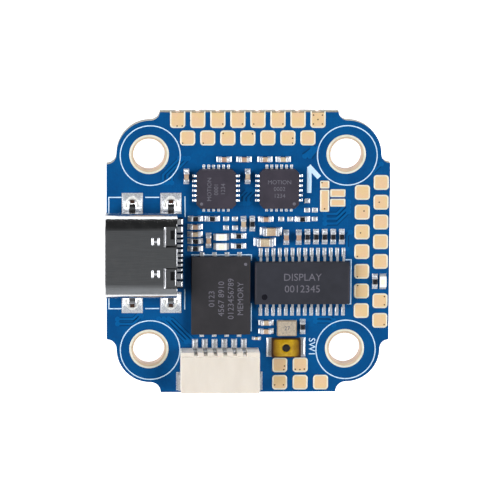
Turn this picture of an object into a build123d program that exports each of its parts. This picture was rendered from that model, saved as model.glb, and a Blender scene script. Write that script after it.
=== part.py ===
from build123d import *
from math import asin, cos, degrees, radians, sin
import os

# Flight controller board for a small multirotor, in millimetres.
# The origin is the centre of the mounting pattern, on the component face of the board.
# +X runs away from the USB mouth, +Y is the flight direction, +Z leaves the component face.

# ---- Driving dimensions ----------------------------------------------------------------

# Laminate
BOARD_SIDE = 28.8
BOARD_CENTRE = (0.1, -0.1)
BOARD_T = 1.6
HOLE_SPACING = 20.0
HOLE_R = 1.6
LOBE_R = 3.45
LOBE_SHIFT = 0.15
RING_R = 2.0
BARREL_WALL = 0.05

# Copper and solder on the board's faces
COPPER = 0.035
TINNED = 0.05
PAD_PITCH = 2.032
PAD = 1.524
PAD_CORNER = 0.33
EDGE_PAD_LENGTH = 1.69
EDGE_RIM = 0.09
EDGE_HOLE_R = 0.27
EDGE_HOLE_OUT = 0.15
EDGE_HOLE_WALL = 0.04

# USB-C receptacle, mouth towards -X
USB_FRONT = -14.5
USB_LENGTH = 7.3
USB_Y = -0.1
USB_WIDTH = 8.75
USB_HEIGHT = 3.2
USB_WALL = 0.3
USB_LEG_X = (-11.7, -7.78)
USB_LEG_OUT = 5.1
USB_LEG_WIDTH = 0.65
USB_LEG_BEND_R = 0.3
USB_CONTACT_PITCH = 0.5

# Wire ports, 1.0 mm pitch, mouth towards -Y
PORT_MOUTH_Y = -14.1
PORT_DEPTH = 4.2
PORT_HEIGHT = 2.95
PORT_PITCH = 1.0
PORT_END = 1.5

# Boot button
BUTTON_AT = (4.0, -9.85)
BUTTON_SIZE = (3.0, 2.0)
BUTTON_TOP = 0.56
BUTTON_FILM = 0.05
BUTTON_FILM_SIZE = (2.62, 1.74)
BUTTON_FLOOR = 0.1
BUTTON_TRAVEL = 0.15
STEM_R = 0.35
STEM_CLEARANCE = 0.05
STEM_ROUND = 0.05
BUTTON_TERMINAL = (0.32, 1.7, 0.15)
FLANGE_R = 0.55
FLANGE_T = 0.09
FLANGE_GAP = 0.04
DOME_R = 0.7
DOME_RISE = 0.12
DOME_T = 0.04

# ---- Faces and helpers -----------------------------------------------------------------

TOP = Plane.XY
UNDER = Plane(origin=(0, 0, -BOARD_T), x_dir=(1, 0, 0), z_dir=(0, 0, -1))
EDGE_TOP = BOARD_CENTRE[1] + BOARD_SIDE / 2 + EDGE_RIM
EDGE_BOTTOM = BOARD_CENTRE[1] - BOARD_SIDE / 2
EDGE_RIGHT = BOARD_CENTRE[0] + BOARD_SIDE / 2
EDGE_LEFT = BOARD_CENTRE[0] - BOARD_SIDE / 2
HOLE_AT = HOLE_SPACING / 2
CORNERS = [(1, 1), (-1, 1), (-1, -1), (1, -1)]


def side_plane(face, x, y, turn):
    """Plane standing on a face at (x, y): its X runs along turn, its Y away from the face."""
    along = face.x_dir * cos(radians(turn)) + face.y_dir * sin(radians(turn))
    foot = face.from_local_coords(Vector(x, y, 0))
    return Plane(origin=foot, x_dir=along, z_dir=along.cross(face.z_dir))


def step_out(places, reach):
    """Both ends of each two-ended part, reach away from its middle."""
    spots = []
    for x, y, turn in places:
        for side in (-1, 1):
            dx = side * reach * cos(radians(turn))
            dy = side * reach * sin(radians(turn))
            spots.append((x + dx, y + dy, turn))
    return spots


def row_of(count, pitch, x, y, turn):
    """Places of a straight row of leads; turn is the direction in which each lead points out."""
    spots = []
    for i in range(count):
        shift = pitch * (i - (count - 1) / 2)
        spots.append((x - shift * sin(radians(turn)), y + shift * cos(radians(turn)), turn))
    return spots


def blocks(face, places, length, width, low, high, corner=0.0):
    """Equal upright blocks, one solid at each place, from height low to height high."""
    with BuildPart() as group:
        with BuildSketch(face.offset(low)):
            for x, y, turn in places:
                with Locations(Location((x, y, 0), (0, 0, turn))):
                    if corner > 0:
                        RectangleRounded(length, width, corner)
                    else:
                        Rectangle(length, width)
        extrude(amount=high - low)
    return group


def moulded(face, x, y, length, width, low, high, draft=7.0):
    """Moulded chip body: two drafted halves that meet at the parting line."""
    parting = (low + high) / 2
    with BuildPart() as body:
        for end in (high, low):
            with BuildSketch(face.offset(parting)):
                with Locations((x, y)):
                    RectangleRounded(length, width, 0.08)
            extrude(amount=end - parting, taper=draft)
    return body


def chips(face, places, size, wrap, skin=0.02):
    """Bodies and wrapped end caps of equal two-terminal chips standing on their lands."""
    length, width, height = size
    low = TINNED
    bodies = blocks(face, places, length - 2 * skin, width - 2 * skin, low + skin, low + height - skin)
    reach = (length - wrap) / 2
    caps = blocks(face, step_out(places, reach), wrap, width, low, low + height)
    with BuildPart() as hollow_caps:
        add(caps.part)
        add(bodies.part, mode=Mode.SUBTRACT)
    return bodies, hollow_caps


def bent_strips(places, face, route, thickness, width, radius):
    """Strips of bent metal: the same route (out, up) at every place, one solid each."""
    planes = [side_plane(face, x, y, turn) for x, y, turn in places]
    with BuildPart() as strips:
        with BuildSketch(*planes):
            with BuildLine():
                FilletPolyline(*route, radius=radius)
            trace(line_width=thickness)
        extrude(amount=width / 2, both=True)
    return strips


def gull_wings(places, face, inner, tip, shoulder, foot, thickness, width):
    """Gull-wing leads: out of the body at the shoulder's height, down, and out along the land."""
    heel = tip - foot
    low = TINNED + thickness / 2
    route = [(inner, shoulder), (heel - 0.1, shoulder), (heel, low), (tip, low)]
    return bent_strips(places, face, route, thickness, width, thickness * 0.8)


def joined(*groups):
    """Several groups of solids as one node."""
    with BuildPart() as group:
        for one in groups:
            add(one.part)
    return group


def without(body, *others):
    """A body with the room for other pieces taken out of it."""
    with BuildPart() as cut:
        add(body.part)
        for other in others:
            add(other.part, mode=Mode.SUBTRACT)
    return cut


# ---- Circuit board ---------------------------------------------------------------------

EDGE_PAD_X = [PAD_PITCH * (i - 3.5) for i in range(8)]
LOWER_PAD_PITCH = 2.1
LOWER_PAD_X = [3.38 + LOWER_PAD_PITCH * i for i in range(3)]
EDGE_HOLES = [(x, EDGE_TOP + EDGE_HOLE_OUT) for x in EDGE_PAD_X]
USB_LEGS = [(x, USB_Y + side * USB_LEG_OUT, 0) for x in USB_LEG_X for side in (-1, 1)]
LEG_SLOT = (1.0, 0.65)
QUADRANT = {(1, 1): 0, (-1, 1): 90, (-1, -1): 180, (1, -1): 270}

with BuildPart() as circuit_board:
    with BuildSketch(TOP):
        with BuildLine():
            # The lobes sit a little to the right of the holes, as the outline does.
            for sx, sy in CORNERS:
                edge_x = EDGE_RIGHT if sx > 0 else EDGE_LEFT
                edge_y = EDGE_TOP if sy > 0 else EDGE_BOTTOM
                lobe = (sx * HOLE_AT + LOBE_SHIFT, sy * HOLE_AT)
                notch_x = abs(edge_x - lobe[0]) - LOBE_R
                notch_y = abs(edge_y - lobe[1]) - LOBE_R
                inward = QUADRANT[(-sx, -sy)]
                CenterArc((lobe[0], edge_y), notch_y, inward, 90)
                CenterArc(lobe, LOBE_R, QUADRANT[(sx, sy)], 90)
                CenterArc((edge_x, lobe[1]), notch_x, inward, 90)
            for edge in (EDGE_TOP, EDGE_BOTTOM):
                reach = HOLE_AT - (abs(edge) - HOLE_AT - LOBE_R)
                Line((LOBE_SHIFT - reach, edge), (LOBE_SHIFT + reach, edge))
            for edge in (EDGE_RIGHT, EDGE_LEFT):
                reach = HOLE_AT - (abs(edge - LOBE_SHIFT) - HOLE_AT - LOBE_R)
                Line((edge, -reach), (edge, reach))
        make_face()
        with GridLocations(HOLE_SPACING, HOLE_SPACING, 2, 2):
            Circle(HOLE_R + BARREL_WALL, mode=Mode.SUBTRACT)
        with Locations(*EDGE_HOLES):
            Circle(EDGE_HOLE_R + EDGE_HOLE_WALL, mode=Mode.SUBTRACT)
        with Locations(*[(x, y) for x, y, turn in USB_LEGS]):
            Rectangle(LEG_SLOT[0], LEG_SLOT[1], mode=Mode.SUBTRACT)
    extrude(amount=-BOARD_T)

with BuildPart() as mounting_hole_plating:
    for face in (TOP, UNDER):
        with BuildSketch(face):
            with GridLocations(HOLE_SPACING, HOLE_SPACING, 2, 2):
                Circle(RING_R)
        extrude(amount=COPPER)
    with BuildSketch(TOP.offset(COPPER)):
        with GridLocations(HOLE_SPACING, HOLE_SPACING, 2, 2):
            Circle(HOLE_R + BARREL_WALL)
    extrude(amount=-BOARD_T - 2 * COPPER)
    with BuildSketch(TOP.offset(COPPER)):
        with GridLocations(HOLE_SPACING, HOLE_SPACING, 2, 2):
            Circle(HOLE_R)
    extrude(amount=-BOARD_T - 2 * COPPER, mode=Mode.SUBTRACT)

# ---- Solder pads -----------------------------------------------------------------------

OUTER_COLUMN_X = 13.6
INNER_COLUMN_X = 11.69
INNER_ROW_Y = 11.68
LOWER_ROW_Y = -11.7
LOWER_EDGE_ROW_Y = -13.51
COLUMN_GAP = 5

# Edge pads wrap from face to face through their plated half-holes.
edge_pad_places = [(x, EDGE_TOP - EDGE_PAD_LENGTH / 2) for x in EDGE_PAD_X]

with BuildPart() as edge_pads:
    with BuildSketch(TOP):
        with Locations(*edge_pad_places):
            RectangleRounded(PAD, EDGE_PAD_LENGTH, PAD_CORNER)
    extrude(amount=COPPER)
    with BuildSketch(UNDER):
        with Locations(*[(x, -y) for x, y in edge_pad_places]):
            RectangleRounded(PAD, EDGE_PAD_LENGTH, PAD_CORNER)
    extrude(amount=COPPER)
    with BuildSketch(TOP.offset(COPPER)):
        with Locations(*EDGE_HOLES):
            Circle(EDGE_HOLE_R + EDGE_HOLE_WALL)
    extrude(amount=-BOARD_T - 2 * COPPER)
    with BuildSketch(TOP.offset(COPPER)):
        with Locations(*EDGE_HOLES):
            Circle(EDGE_HOLE_R)
        with Locations((0, EDGE_TOP + PAD / 2)):
            Rectangle(BOARD_SIDE, PAD)
    extrude(amount=-BOARD_T - 2 * COPPER, mode=Mode.SUBTRACT)

face_pad_places = [(PAD_PITCH * (i - 3), INNER_ROW_Y, 0) for i in range(7)]
face_pad_places += [(INNER_COLUMN_X, PAD_PITCH * (3 - i), 0) for i in range(7)]
face_pad_places += [(OUTER_COLUMN_X, PAD_PITCH * (3.5 - i), 0) for i in range(8) if i != COLUMN_GAP]
face_pad_places += [(x, LOWER_ROW_Y, 0) for x in LOWER_PAD_X[:2]]
face_pad_places += [(x, LOWER_EDGE_ROW_Y, 0) for x in LOWER_PAD_X]
face_pads = blocks(TOP, face_pad_places, PAD, PAD, 0, COPPER, corner=PAD_CORNER)

# Solder jumper: centre and size of each of its four pads
JUMPER = [((7.85, 6.9), (0.93, 0.8)), ((7.85, 5.25), (0.93, 2.26))]
JUMPER += [((9.19, 6.02), (1.54, 0.8)), ((9.19, 5.04), (1.54, 0.8))]
JUMPER_CORNER = 0.12

with BuildPart() as jumper_pads:
    with BuildSketch(TOP):
        for centre, size in JUMPER:
            with Locations(centre):
                RectangleRounded(*size, JUMPER_CORNER)
    extrude(amount=COPPER)

# Tinned lands with no part on them
SPARE_LANDS = [(-2.17, 3.4), (-1.27, 3.4), (-2.17, 2.48), (-1.25, 2.48), (3.44, 3.37), (4.37, 3.37)]
SPARE_LANDS += [(6.85, 3.37), (6.07, 4.28), (6.86, 4.28), (6.07, 5.23)]
SPARE_LAND = (0.6, 0.48)
SPARE_CORNER = 0.08
spare_places = [(x, y, 0) for x, y in SPARE_LANDS]
spare_lands = blocks(TOP, spare_places, *SPARE_LAND, 0, TINNED, corner=SPARE_CORNER)

# Lands of every fitted part: (x, y, turn, length along turn, width)
top_lands = []
under_lands = []


def add_lands(lands, places, length, width):
    """Note one land for every place."""
    for x, y, turn in places:
        lands.append((x, y, turn, length, width))


def land_group(face, lands):
    """All the tinned lands of one face, one solid each."""
    with BuildPart() as group:
        with BuildSketch(face):
            for x, y, turn, length, width in lands:
                with Locations(Location((x, y, 0), (0, 0, turn))):
                    Rectangle(length, width)
        extrude(amount=TINNED)
    return group


# ---- USB-C receptacle ------------------------------------------------------------------

USB_REAR = USB_FRONT + USB_LENGTH
USB_MID = TINNED + USB_HEIGHT / 2
USB_GAP = 0.03
USB_RIM = 0.06
WINDOW_Y = 2.1
WINDOW_WIDTH = 2.1
WINDOW_DEPTH = 1.25
TAB_DROP = 0.28
TAB_PLATE = 0.2
TAB_PUNCH = (0.4, 0.9)
SPRING_X = -9.4
SPRING_Y = 1.65
SPRING_HALF = 0.3
SPRING_BAR = (0.8, 0.3)
SPRING_WEB = 0.22
FOOT_DEPTH = 1.15
FOOT_HALF = 3.7
TONGUE_FRONT = -13.7
TONGUE_HALF = 3.35
TONGUE_T = 0.7
CONTACT_T = 0.12
CONTACT_PROUD = 0.03
BLOCK_FRONT = -9.7
TAIL_END = -6.7
PLATE_T = 0.15
LEG_REST = 0.55
LEG_BELOW = 0.3
LEG_ROOT = 3.75
LEG_LAND_TOP = 2.15
LEG_LAND_UNDER = 1.8
FLOOR_STEP = 0.3
BLADE_WIDTH = 0.26
POWER_BLADE_WIDTH = 0.5
BLADE_BEND_R = 0.15

with BuildPart() as usb_shell:
    with BuildSketch(Plane.YZ.offset(USB_FRONT)):
        with Locations((USB_Y, USB_MID)):
            SlotOverall(USB_WIDTH, USB_HEIGHT)
            SlotOverall(USB_WIDTH - 2 * USB_WALL, USB_HEIGHT - 2 * USB_WALL, mode=Mode.SUBTRACT)
    extrude(amount=USB_LENGTH)
    chamfer(usb_shell.faces().sort_by(Axis.X)[0].edges(), USB_RIM)
    # Rear windows in the roof
    with BuildSketch(TOP.offset(TINNED + USB_HEIGHT)):
        with Locations(*[(USB_REAR - WINDOW_DEPTH / 2, USB_Y + s * WINDOW_Y) for s in (-1, 1)]):
            Rectangle(WINDOW_DEPTH, WINDOW_WIDTH)
    extrude(amount=-USB_WALL, mode=Mode.SUBTRACT)
    # Tabs in the windows, bent down behind the roof's edge, each with a punched hole
    tab_top = TINNED + USB_HEIGHT - TAB_DROP
    with BuildSketch(TOP.offset(tab_top)):
        for s in (-1, 1):
            with Locations((USB_REAR - WINDOW_DEPTH / 2 - 0.1, USB_Y + s * WINDOW_Y)):
                Rectangle(WINDOW_DEPTH - 0.1, WINDOW_WIDTH - 0.3)
            with Locations((USB_REAR - 0.5, USB_Y + s * WINDOW_Y + 0.2)):
                Rectangle(*TAB_PUNCH, mode=Mode.SUBTRACT)
    extrude(amount=-TAB_PLATE)
    # Pressed grounding springs: an H-shaped recess
    with BuildSketch(TOP.offset(TINNED + USB_HEIGHT)):
        for s in (-1, 1):
            spring_y = USB_Y + s * SPRING_Y
            with Locations((SPRING_X - SPRING_HALF, spring_y), (SPRING_X + SPRING_HALF, spring_y)):
                SlotOverall(*SPRING_BAR, rotation=90)
            with Locations((SPRING_X, spring_y)):
                Rectangle(2 * SPRING_HALF, SPRING_WEB)
    extrude(amount=-USB_WALL / 2, mode=Mode.SUBTRACT)
    # The floor stops short at the rear, where the tails leave
    with BuildSketch(TOP):
        with Locations((USB_REAR - FOOT_DEPTH / 2, USB_Y)):
            Rectangle(FOOT_DEPTH, 2 * FOOT_HALF)
    extrude(amount=TINNED + USB_WALL + FLOOR_STEP, mode=Mode.SUBTRACT)
    # Four board legs, bent out and down through the board
    leg_planes = [side_plane(TOP, x, USB_Y, s * 90) for x in USB_LEG_X for s in (-1, 1)]
    with BuildSketch(*leg_planes):
        with BuildLine():
            leg_route = [(LEG_ROOT, LEG_REST), (USB_LEG_OUT, LEG_REST), (USB_LEG_OUT, -BOARD_T - LEG_BELOW)]
            FilletPolyline(*leg_route, radius=USB_LEG_BEND_R)
        trace(line_width=USB_WALL)
    extrude(amount=USB_LEG_WIDTH / 2, both=True)

TAIL_Z = TINNED + CONTACT_T / 2
UPPER_Z = USB_MID + TONGUE_T / 2 + CONTACT_PROUD - CONTACT_T / 2
LOWER_Z = USB_MID - TONGUE_T / 2 - CONTACT_PROUD + CONTACT_T / 2
UPPER_DROP = -7.7
LOWER_DROP = -8.15
BLADE_END = -13.3
upper_route = [(BLADE_END, UPPER_Z), (UPPER_DROP, UPPER_Z), (UPPER_DROP, TAIL_Z), (TAIL_END, TAIL_Z)]
lower_route = [(BLADE_END, LOWER_Z), (LOWER_DROP, LOWER_Z), (LOWER_DROP, TAIL_Z), (TAIL_END, TAIL_Z)]
SIGNAL_TAILS = [USB_CONTACT_PITCH * (i - 3.5) for i in range(8)]
POWER_TAILS = [-3.2, -2.4, 2.4, 3.2]


def usb_strips(tails, route, width):
    """USB contacts at the given distances from the receptacle's middle plane."""
    places = [(0, USB_Y + y, 0) for y in tails]
    return bent_strips(places, TOP, route, CONTACT_T, width, BLADE_BEND_R)


with BuildPart() as usb_contacts:
    add(usb_strips(SIGNAL_TAILS[0::2], upper_route, BLADE_WIDTH).part)
    add(usb_strips(SIGNAL_TAILS[1::2], lower_route, BLADE_WIDTH).part)
    add(usb_strips(POWER_TAILS, upper_route, POWER_BLADE_WIDTH).part)
    add(usb_strips(POWER_TAILS, lower_route, POWER_BLADE_WIDTH).part)

with BuildPart() as usb_latch_plate:
    with BuildSketch(TOP.offset(USB_MID - PLATE_T / 2)):
        with Locations(((TONGUE_FRONT + 0.5 + BLOCK_FRONT + 0.6) / 2, USB_Y)):
            RectangleRounded(BLOCK_FRONT + 0.6 - TONGUE_FRONT - 0.5, 2 * TONGUE_HALF + 0.2, 0.2)
    extrude(amount=PLATE_T)

with BuildPart() as usb_moulding:
    with BuildSketch(Plane.YZ.offset(BLOCK_FRONT)):
        with Locations((USB_Y, USB_MID)):
            inner_width = USB_WIDTH - 2 * USB_WALL - 2 * USB_GAP
            inner_height = USB_HEIGHT - 2 * USB_WALL - 2 * USB_GAP
            SlotOverall(inner_width, inner_height)
    extrude(amount=USB_REAR - USB_GAP - BLOCK_FRONT)
    with BuildSketch(TOP.offset(USB_MID - TONGUE_T / 2)):
        with Locations(((TONGUE_FRONT + BLOCK_FRONT) / 2 + 0.1, USB_Y)):
            RectangleRounded(BLOCK_FRONT - TONGUE_FRONT + 0.2, 2 * TONGUE_HALF, 0.35)
        with Locations((BLOCK_FRONT, USB_Y)):
            Rectangle(1.0, 2 * TONGUE_HALF)
    extrude(amount=TONGUE_T)
    # Foot that closes the gap in the shell's floor
    with BuildSketch(TOP.offset(TINNED + 0.01)):
        with Locations((USB_REAR - FOOT_DEPTH / 2, USB_Y)):
            Rectangle(FOOT_DEPTH - 2 * USB_GAP, 2 * FOOT_HALF - 2 * USB_GAP)
    extrude(amount=USB_WALL + FLOOR_STEP)
    # Room for the roof's bent tabs
    with BuildSketch(TOP.offset(TINNED + USB_HEIGHT - USB_WALL)):
        with Locations(*[(USB_REAR - WINDOW_DEPTH / 2, USB_Y + s * WINDOW_Y) for s in (-1, 1)]):
            Rectangle(WINDOW_DEPTH + 0.4, WINDOW_WIDTH + 0.1)
    extrude(amount=-0.24, mode=Mode.SUBTRACT)
    add(usb_contacts.part, mode=Mode.SUBTRACT)
    add(usb_latch_plate.part, mode=Mode.SUBTRACT)

# Plated leg slots with a square land on each face
with BuildPart() as usb_leg_lands:
    for face, flip, side in ((TOP, 1, LEG_LAND_TOP), (UNDER, -1, LEG_LAND_UNDER)):
        with BuildSketch(face):
            with Locations(*[(x, flip * y) for x, y, turn in USB_LEGS]):
                Rectangle(side, side)
        extrude(amount=COPPER)
    with BuildSketch(TOP.offset(COPPER)):
        with Locations(*[(x, y) for x, y, turn in USB_LEGS]):
            Rectangle(LEG_SLOT[0], LEG_SLOT[1])
    extrude(amount=-BOARD_T - 2 * COPPER)
    with BuildSketch(TOP.offset(COPPER)):
        with Locations(*[(x, y) for x, y, turn in USB_LEGS]):
            Rectangle(LEG_SLOT[0] - 2 * BARREL_WALL, LEG_SLOT[1] - 2 * BARREL_WALL)
    extrude(amount=-BOARD_T - 2 * COPPER, mode=Mode.SUBTRACT)

TAIL_LAND_X = (USB_REAR + TAIL_END) / 2 + 0.02
TAIL_LAND = (0.78, 0.3)
POWER_TAIL_LAND = (0.78, 0.6)
add_lands(top_lands, [(TAIL_LAND_X, USB_Y + y, 0) for y in SIGNAL_TAILS], *TAIL_LAND)
add_lands(top_lands, [(TAIL_LAND_X, USB_Y + y, 0) for y in POWER_TAILS], *POWER_TAIL_LAND)

# ---- Wire ports ------------------------------------------------------------------------

PORT6 = Plane(origin=(-2.8, PORT_MOUTH_Y, 0), x_dir=(1, 0, 0), z_dir=(0, 0, 1))
PORT8 = Plane(origin=(-1.55, PORT_MOUTH_Y, -BOARD_T), x_dir=(-1, 0, 0), z_dir=(0, 0, -1))
PORT_SHELF = 0.42
PORT_SHELF_LOW = 2.75
PORT_WALL = 0.5
PORT_BEVEL = 0.08
PORT_CAVITY = (0.5, 2.35)
PORT_CAVITY_DEPTH = 3.3
PORT_SLOT = (0.4, 0.36)
PORT_KEY = (0.6, 0.4)
PORT_KEY_IN = 1.3
PORT_PIN_Z = 1.4
PORT_PIN = 0.22
PORT_TAIL = 5.05
PORT_PIN_WIDTH = 0.28
PORT_PIN_FRONT = 0.9
PORT_LAND = (1.05, 0.6)
TAB_T = 0.2
TAB_Y = (-0.1, 1.6)
TAB_RISE = 0.9
TAB_FOOT = 0.36
TAB_LAND = (1.9, 0.42)


def port_width(ways):
    """Overall width of the housing."""
    return PORT_PITCH * (ways - 1) + 2 * PORT_END


def port_places(ways, y):
    """Places across the port, one for each way, in the port's own plane."""
    return [(PORT_PITCH * (i - (ways - 1) / 2), y, 90) for i in range(ways)]


def port_contacts(port, ways):
    """Pins in the mouth that run back, down behind the rear wall and out along their lands."""
    low = TINNED + PORT_PIN / 2
    bend = PORT_DEPTH - PORT_SLOT[1] / 2
    route = [(PORT_PIN_FRONT, PORT_PIN_Z), (bend, PORT_PIN_Z), (bend, low), (PORT_TAIL, low)]
    return bent_strips(port_places(ways, 0), port, route, PORT_PIN, PORT_PIN_WIDTH, 0.2)


def port_tabs(port, ways):
    """Soldered fixing tabs beside the mouth: an upright plate and its foot."""
    length = TAB_Y[1] - TAB_Y[0]
    middle = (TAB_Y[0] + TAB_Y[1]) / 2
    half = port_width(ways) / 2
    with BuildPart() as tabs:
        with BuildSketch(port.offset(TINNED)):
            with Locations(*[(s * (half + TAB_T / 2), middle) for s in (-1, 1)]):
                Rectangle(TAB_T, length)
        extrude(amount=TAB_RISE)
        with BuildSketch(port.offset(TINNED)):
            with Locations(*[(s * (half + TAB_FOOT / 2), middle) for s in (-1, 1)]):
                Rectangle(TAB_FOOT, length)
        extrude(amount=TAB_T)
    return tabs


def port_housing(port, ways, contacts):
    """Housing with its mouth, a lower shelf at the rear and a slot for each contact."""
    width = port_width(ways)
    shoulder = PORT_DEPTH - PORT_SHELF
    with BuildPart() as housing:
        with BuildSketch(port.offset(TINNED)):
            with Locations((0, PORT_DEPTH / 2)):
                RectangleRounded(width, PORT_DEPTH, 0.12)
        extrude(amount=PORT_SHELF_LOW)
        with BuildSketch(port.offset(TINNED)):
            with Locations((0, shoulder / 2)):
                RectangleRounded(width, shoulder, 0.12)
        extrude(amount=PORT_HEIGHT)
        roof = housing.faces().sort_by(Axis(port.origin, port.z_dir))[-1]
        chamfer(roof.edges(), PORT_BEVEL)
        mouth = Plane(origin=port.origin, x_dir=port.x_dir, z_dir=-port.y_dir)
        rise = port.z_dir.dot(mouth.y_dir)
        with BuildSketch(mouth):
            with Locations((0, rise * (TINNED + sum(PORT_CAVITY) / 2))):
                Rectangle(width - 2 * PORT_WALL, PORT_CAVITY[1] - PORT_CAVITY[0])
            for s in (-1, 1):
                with Locations((s * (width / 2 - PORT_KEY_IN), rise * (TINNED + PORT_CAVITY[1] + 0.1))):
                    Rectangle(*PORT_KEY)
        extrude(amount=-PORT_CAVITY_DEPTH, mode=Mode.SUBTRACT)
        with BuildSketch(port.offset(TINNED)):
            with Locations(*[(x, PORT_DEPTH - PORT_SLOT[1] / 2) for x, y, turn in port_places(ways, 0)]):
                Rectangle(PORT_SLOT[0], PORT_SLOT[1])
        extrude(amount=PORT_SHELF_LOW, mode=Mode.SUBTRACT)
        add(contacts.part, mode=Mode.SUBTRACT)
    return housing


port6_contacts = port_contacts(PORT6, 6)
port6_housing = port_housing(PORT6, 6, port6_contacts)
port6_fixing_tabs = port_tabs(PORT6, 6)
port8_contacts = port_contacts(PORT8, 8)
port8_housing = port_housing(PORT8, 8, port8_contacts)
port8_fixing_tabs = port_tabs(PORT8, 8)

for lands, port, ways, flip in ((top_lands, PORT6, 6, 1), (under_lands, PORT8, 8, -1)):
    tail_y = flip * (PORT_MOUTH_Y + PORT_TAIL - 0.45)
    tab_y = flip * (PORT_MOUTH_Y + sum(TAB_Y) / 2)
    half = port_width(ways) / 2
    for x, y, turn in port_places(ways, 0):
        lands.append((port.origin.X + x, tail_y, 90, *PORT_LAND))
    for s in (-1, 1):
        lands.append((port.origin.X + s * (half + TAB_LAND[1] / 2), tab_y, 90, *TAB_LAND))

# ---- Motion sensors --------------------------------------------------------------------

GYRO_SIZE = 4.0
GYRO_TOP = 0.95
GYRO_PITCH = 0.5
GYRO_AT = [(-3.2, 6.55), (3.2, 6.55)]
NO_LEAD = (0.36, 0.25, 0.2)
GYRO_CORNER = 0.42
GYRO_LAND = (0.7, 0.28)


def four_rows(count, pitch, x, y, reach):
    """Places of leads on all four sides of a square part."""
    spots = []
    for turn in (0, 90, 180, 270):
        side_x = x + reach * cos(radians(turn))
        side_y = y + reach * sin(radians(turn))
        spots += row_of(count, pitch, side_x, side_y, turn)
    return spots


def leadless(face, places, length, width, body, terminal, corner):
    """Leadless chip: terminals flush with the lower edges of a body with cut corners."""
    x, y, top = body
    terminals = blocks(face, places, terminal[0], terminal[1], TINNED, TINNED + terminal[2])
    with BuildPart() as shell:
        with BuildSketch(face.offset(TINNED + 0.02)):
            with Locations((x, y)):
                outline = Rectangle(length, width)
            chamfer(outline.vertices(), corner)
        extrude(amount=top - TINNED - 0.02)
        outer = shell.faces().filter_by(Axis.Z).sort_by_distance(face.offset(top).origin)[0]
        chamfer(outer.edges(), 0.05)
        add(terminals.part, mode=Mode.SUBTRACT)
    return shell, terminals


gyro_parts = []
for gx, gy in GYRO_AT:
    spots = four_rows(6, GYRO_PITCH, gx, gy, GYRO_SIZE / 2 - NO_LEAD[0] / 2)
    gyro_parts.append(leadless(TOP, spots, GYRO_SIZE, GYRO_SIZE, (gx, gy, GYRO_TOP), NO_LEAD, GYRO_CORNER))
    add_lands(top_lands, four_rows(6, GYRO_PITCH, gx, gy, GYRO_SIZE / 2 + 0.06), *GYRO_LAND)
gyro_1_body, gyro_1_terminals = gyro_parts[0]
gyro_2_body, gyro_2_terminals = gyro_parts[1]

# ---- Flash memory ----------------------------------------------------------------------

FLASH_AT = (-2.7, -4.4)
FLASH_SIZE = (6.0, 8.0)
FLASH_TOP = 0.85
FLASH_PITCH = 1.27
FLASH_TERMINAL = (0.5, 0.4, 0.2)
FLASH_LAND = (0.75, 0.46)
FLASH_CORNER = 0.06

flash_places = []
flash_lands = []
for turn in (90, -90):
    for reach, spots in ((FLASH_SIZE[1] / 2 - 0.25, flash_places), (FLASH_SIZE[1] / 2, flash_lands)):
        row_y = FLASH_AT[1] + reach * sin(radians(turn))
        spots += row_of(4, FLASH_PITCH, FLASH_AT[0], row_y, turn)
flash_body, flash_terminals = leadless(
    TOP, flash_places, *FLASH_SIZE, (*FLASH_AT, FLASH_TOP), FLASH_TERMINAL, FLASH_CORNER
)
add_lands(top_lands, flash_lands, *FLASH_LAND)

# ---- On-screen display chip ------------------------------------------------------------

OSD_AT = (5.59, -3.1)
OSD_SIZE = (9.7, 4.4)
OSD_TOP = 1.1
OSD_TIP = 3.2
OSD_PITCH = 0.65
OSD_LEAD = (0.13, 0.24)
OSD_DIMPLE = (1.0, 0.8)
OSD_DIMPLE_R = 0.3
OSD_LAND = (0.9, 0.38)
OSD_LAND_OUT = 3.05
CHIP_LOW = 0.15

osd_places = row_of(14, OSD_PITCH, *OSD_AT, 90) + row_of(14, OSD_PITCH, *OSD_AT, -90)
osd_leads = gull_wings(osd_places, TOP, 1.9, OSD_TIP, 0.6, 0.5, *OSD_LEAD)
osd_moulding = moulded(TOP, *OSD_AT, *OSD_SIZE, CHIP_LOW, OSD_TOP)
with BuildPart() as osd_body:
    add(osd_moulding.part)
    with BuildSketch(TOP.offset(OSD_TOP)):
        dimple_x = OSD_AT[0] - OSD_SIZE[0] / 2 + OSD_DIMPLE[0]
        with Locations((dimple_x, OSD_AT[1] - OSD_SIZE[1] / 2 + OSD_DIMPLE[1])):
            Circle(OSD_DIMPLE_R)
    extrude(amount=-0.06, mode=Mode.SUBTRACT)
    add(osd_leads.part, mode=Mode.SUBTRACT)
for turn in (90, -90):
    land_y = OSD_AT[1] + OSD_LAND_OUT * sin(radians(turn))
    add_lands(top_lands, row_of(14, OSD_PITCH, OSD_AT[0], land_y, turn), *OSD_LAND)

# ---- Crystal of the display chip -------------------------------------------------------

OSD_CRYSTAL_AT = (4.08, -7.85)
CRYSTAL_SEAM = 0.4
CRYSTAL_TOP = 0.52
CRYSTAL_EDGE = 0.08
CRYSTAL_CORNER = 0.12


def crystal(face, x, y, length, width):
    """Ceramic tray and the metal lid seam-welded on it."""
    base = blocks(face, [(x, y, 0)], length, width, TINNED, CRYSTAL_SEAM, corner=CRYSTAL_CORNER)
    lid_length = length - 2 * CRYSTAL_EDGE
    lid_width = width - 2 * CRYSTAL_EDGE
    lid = blocks(face, [(x, y, 0)], lid_length, lid_width, CRYSTAL_SEAM, CRYSTAL_TOP, corner=CRYSTAL_CORNER)
    return base, lid


osd_crystal_base, osd_crystal_lid = crystal(TOP, *OSD_CRYSTAL_AT, 2.0, 1.6)
for sx, sy in CORNERS:
    top_lands.append((OSD_CRYSTAL_AT[0] + 0.65 * sx, OSD_CRYSTAL_AT[1] + 0.5 * sy, 0, 0.75, 0.62))

# ---- Boot button -----------------------------------------------------------------------

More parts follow.
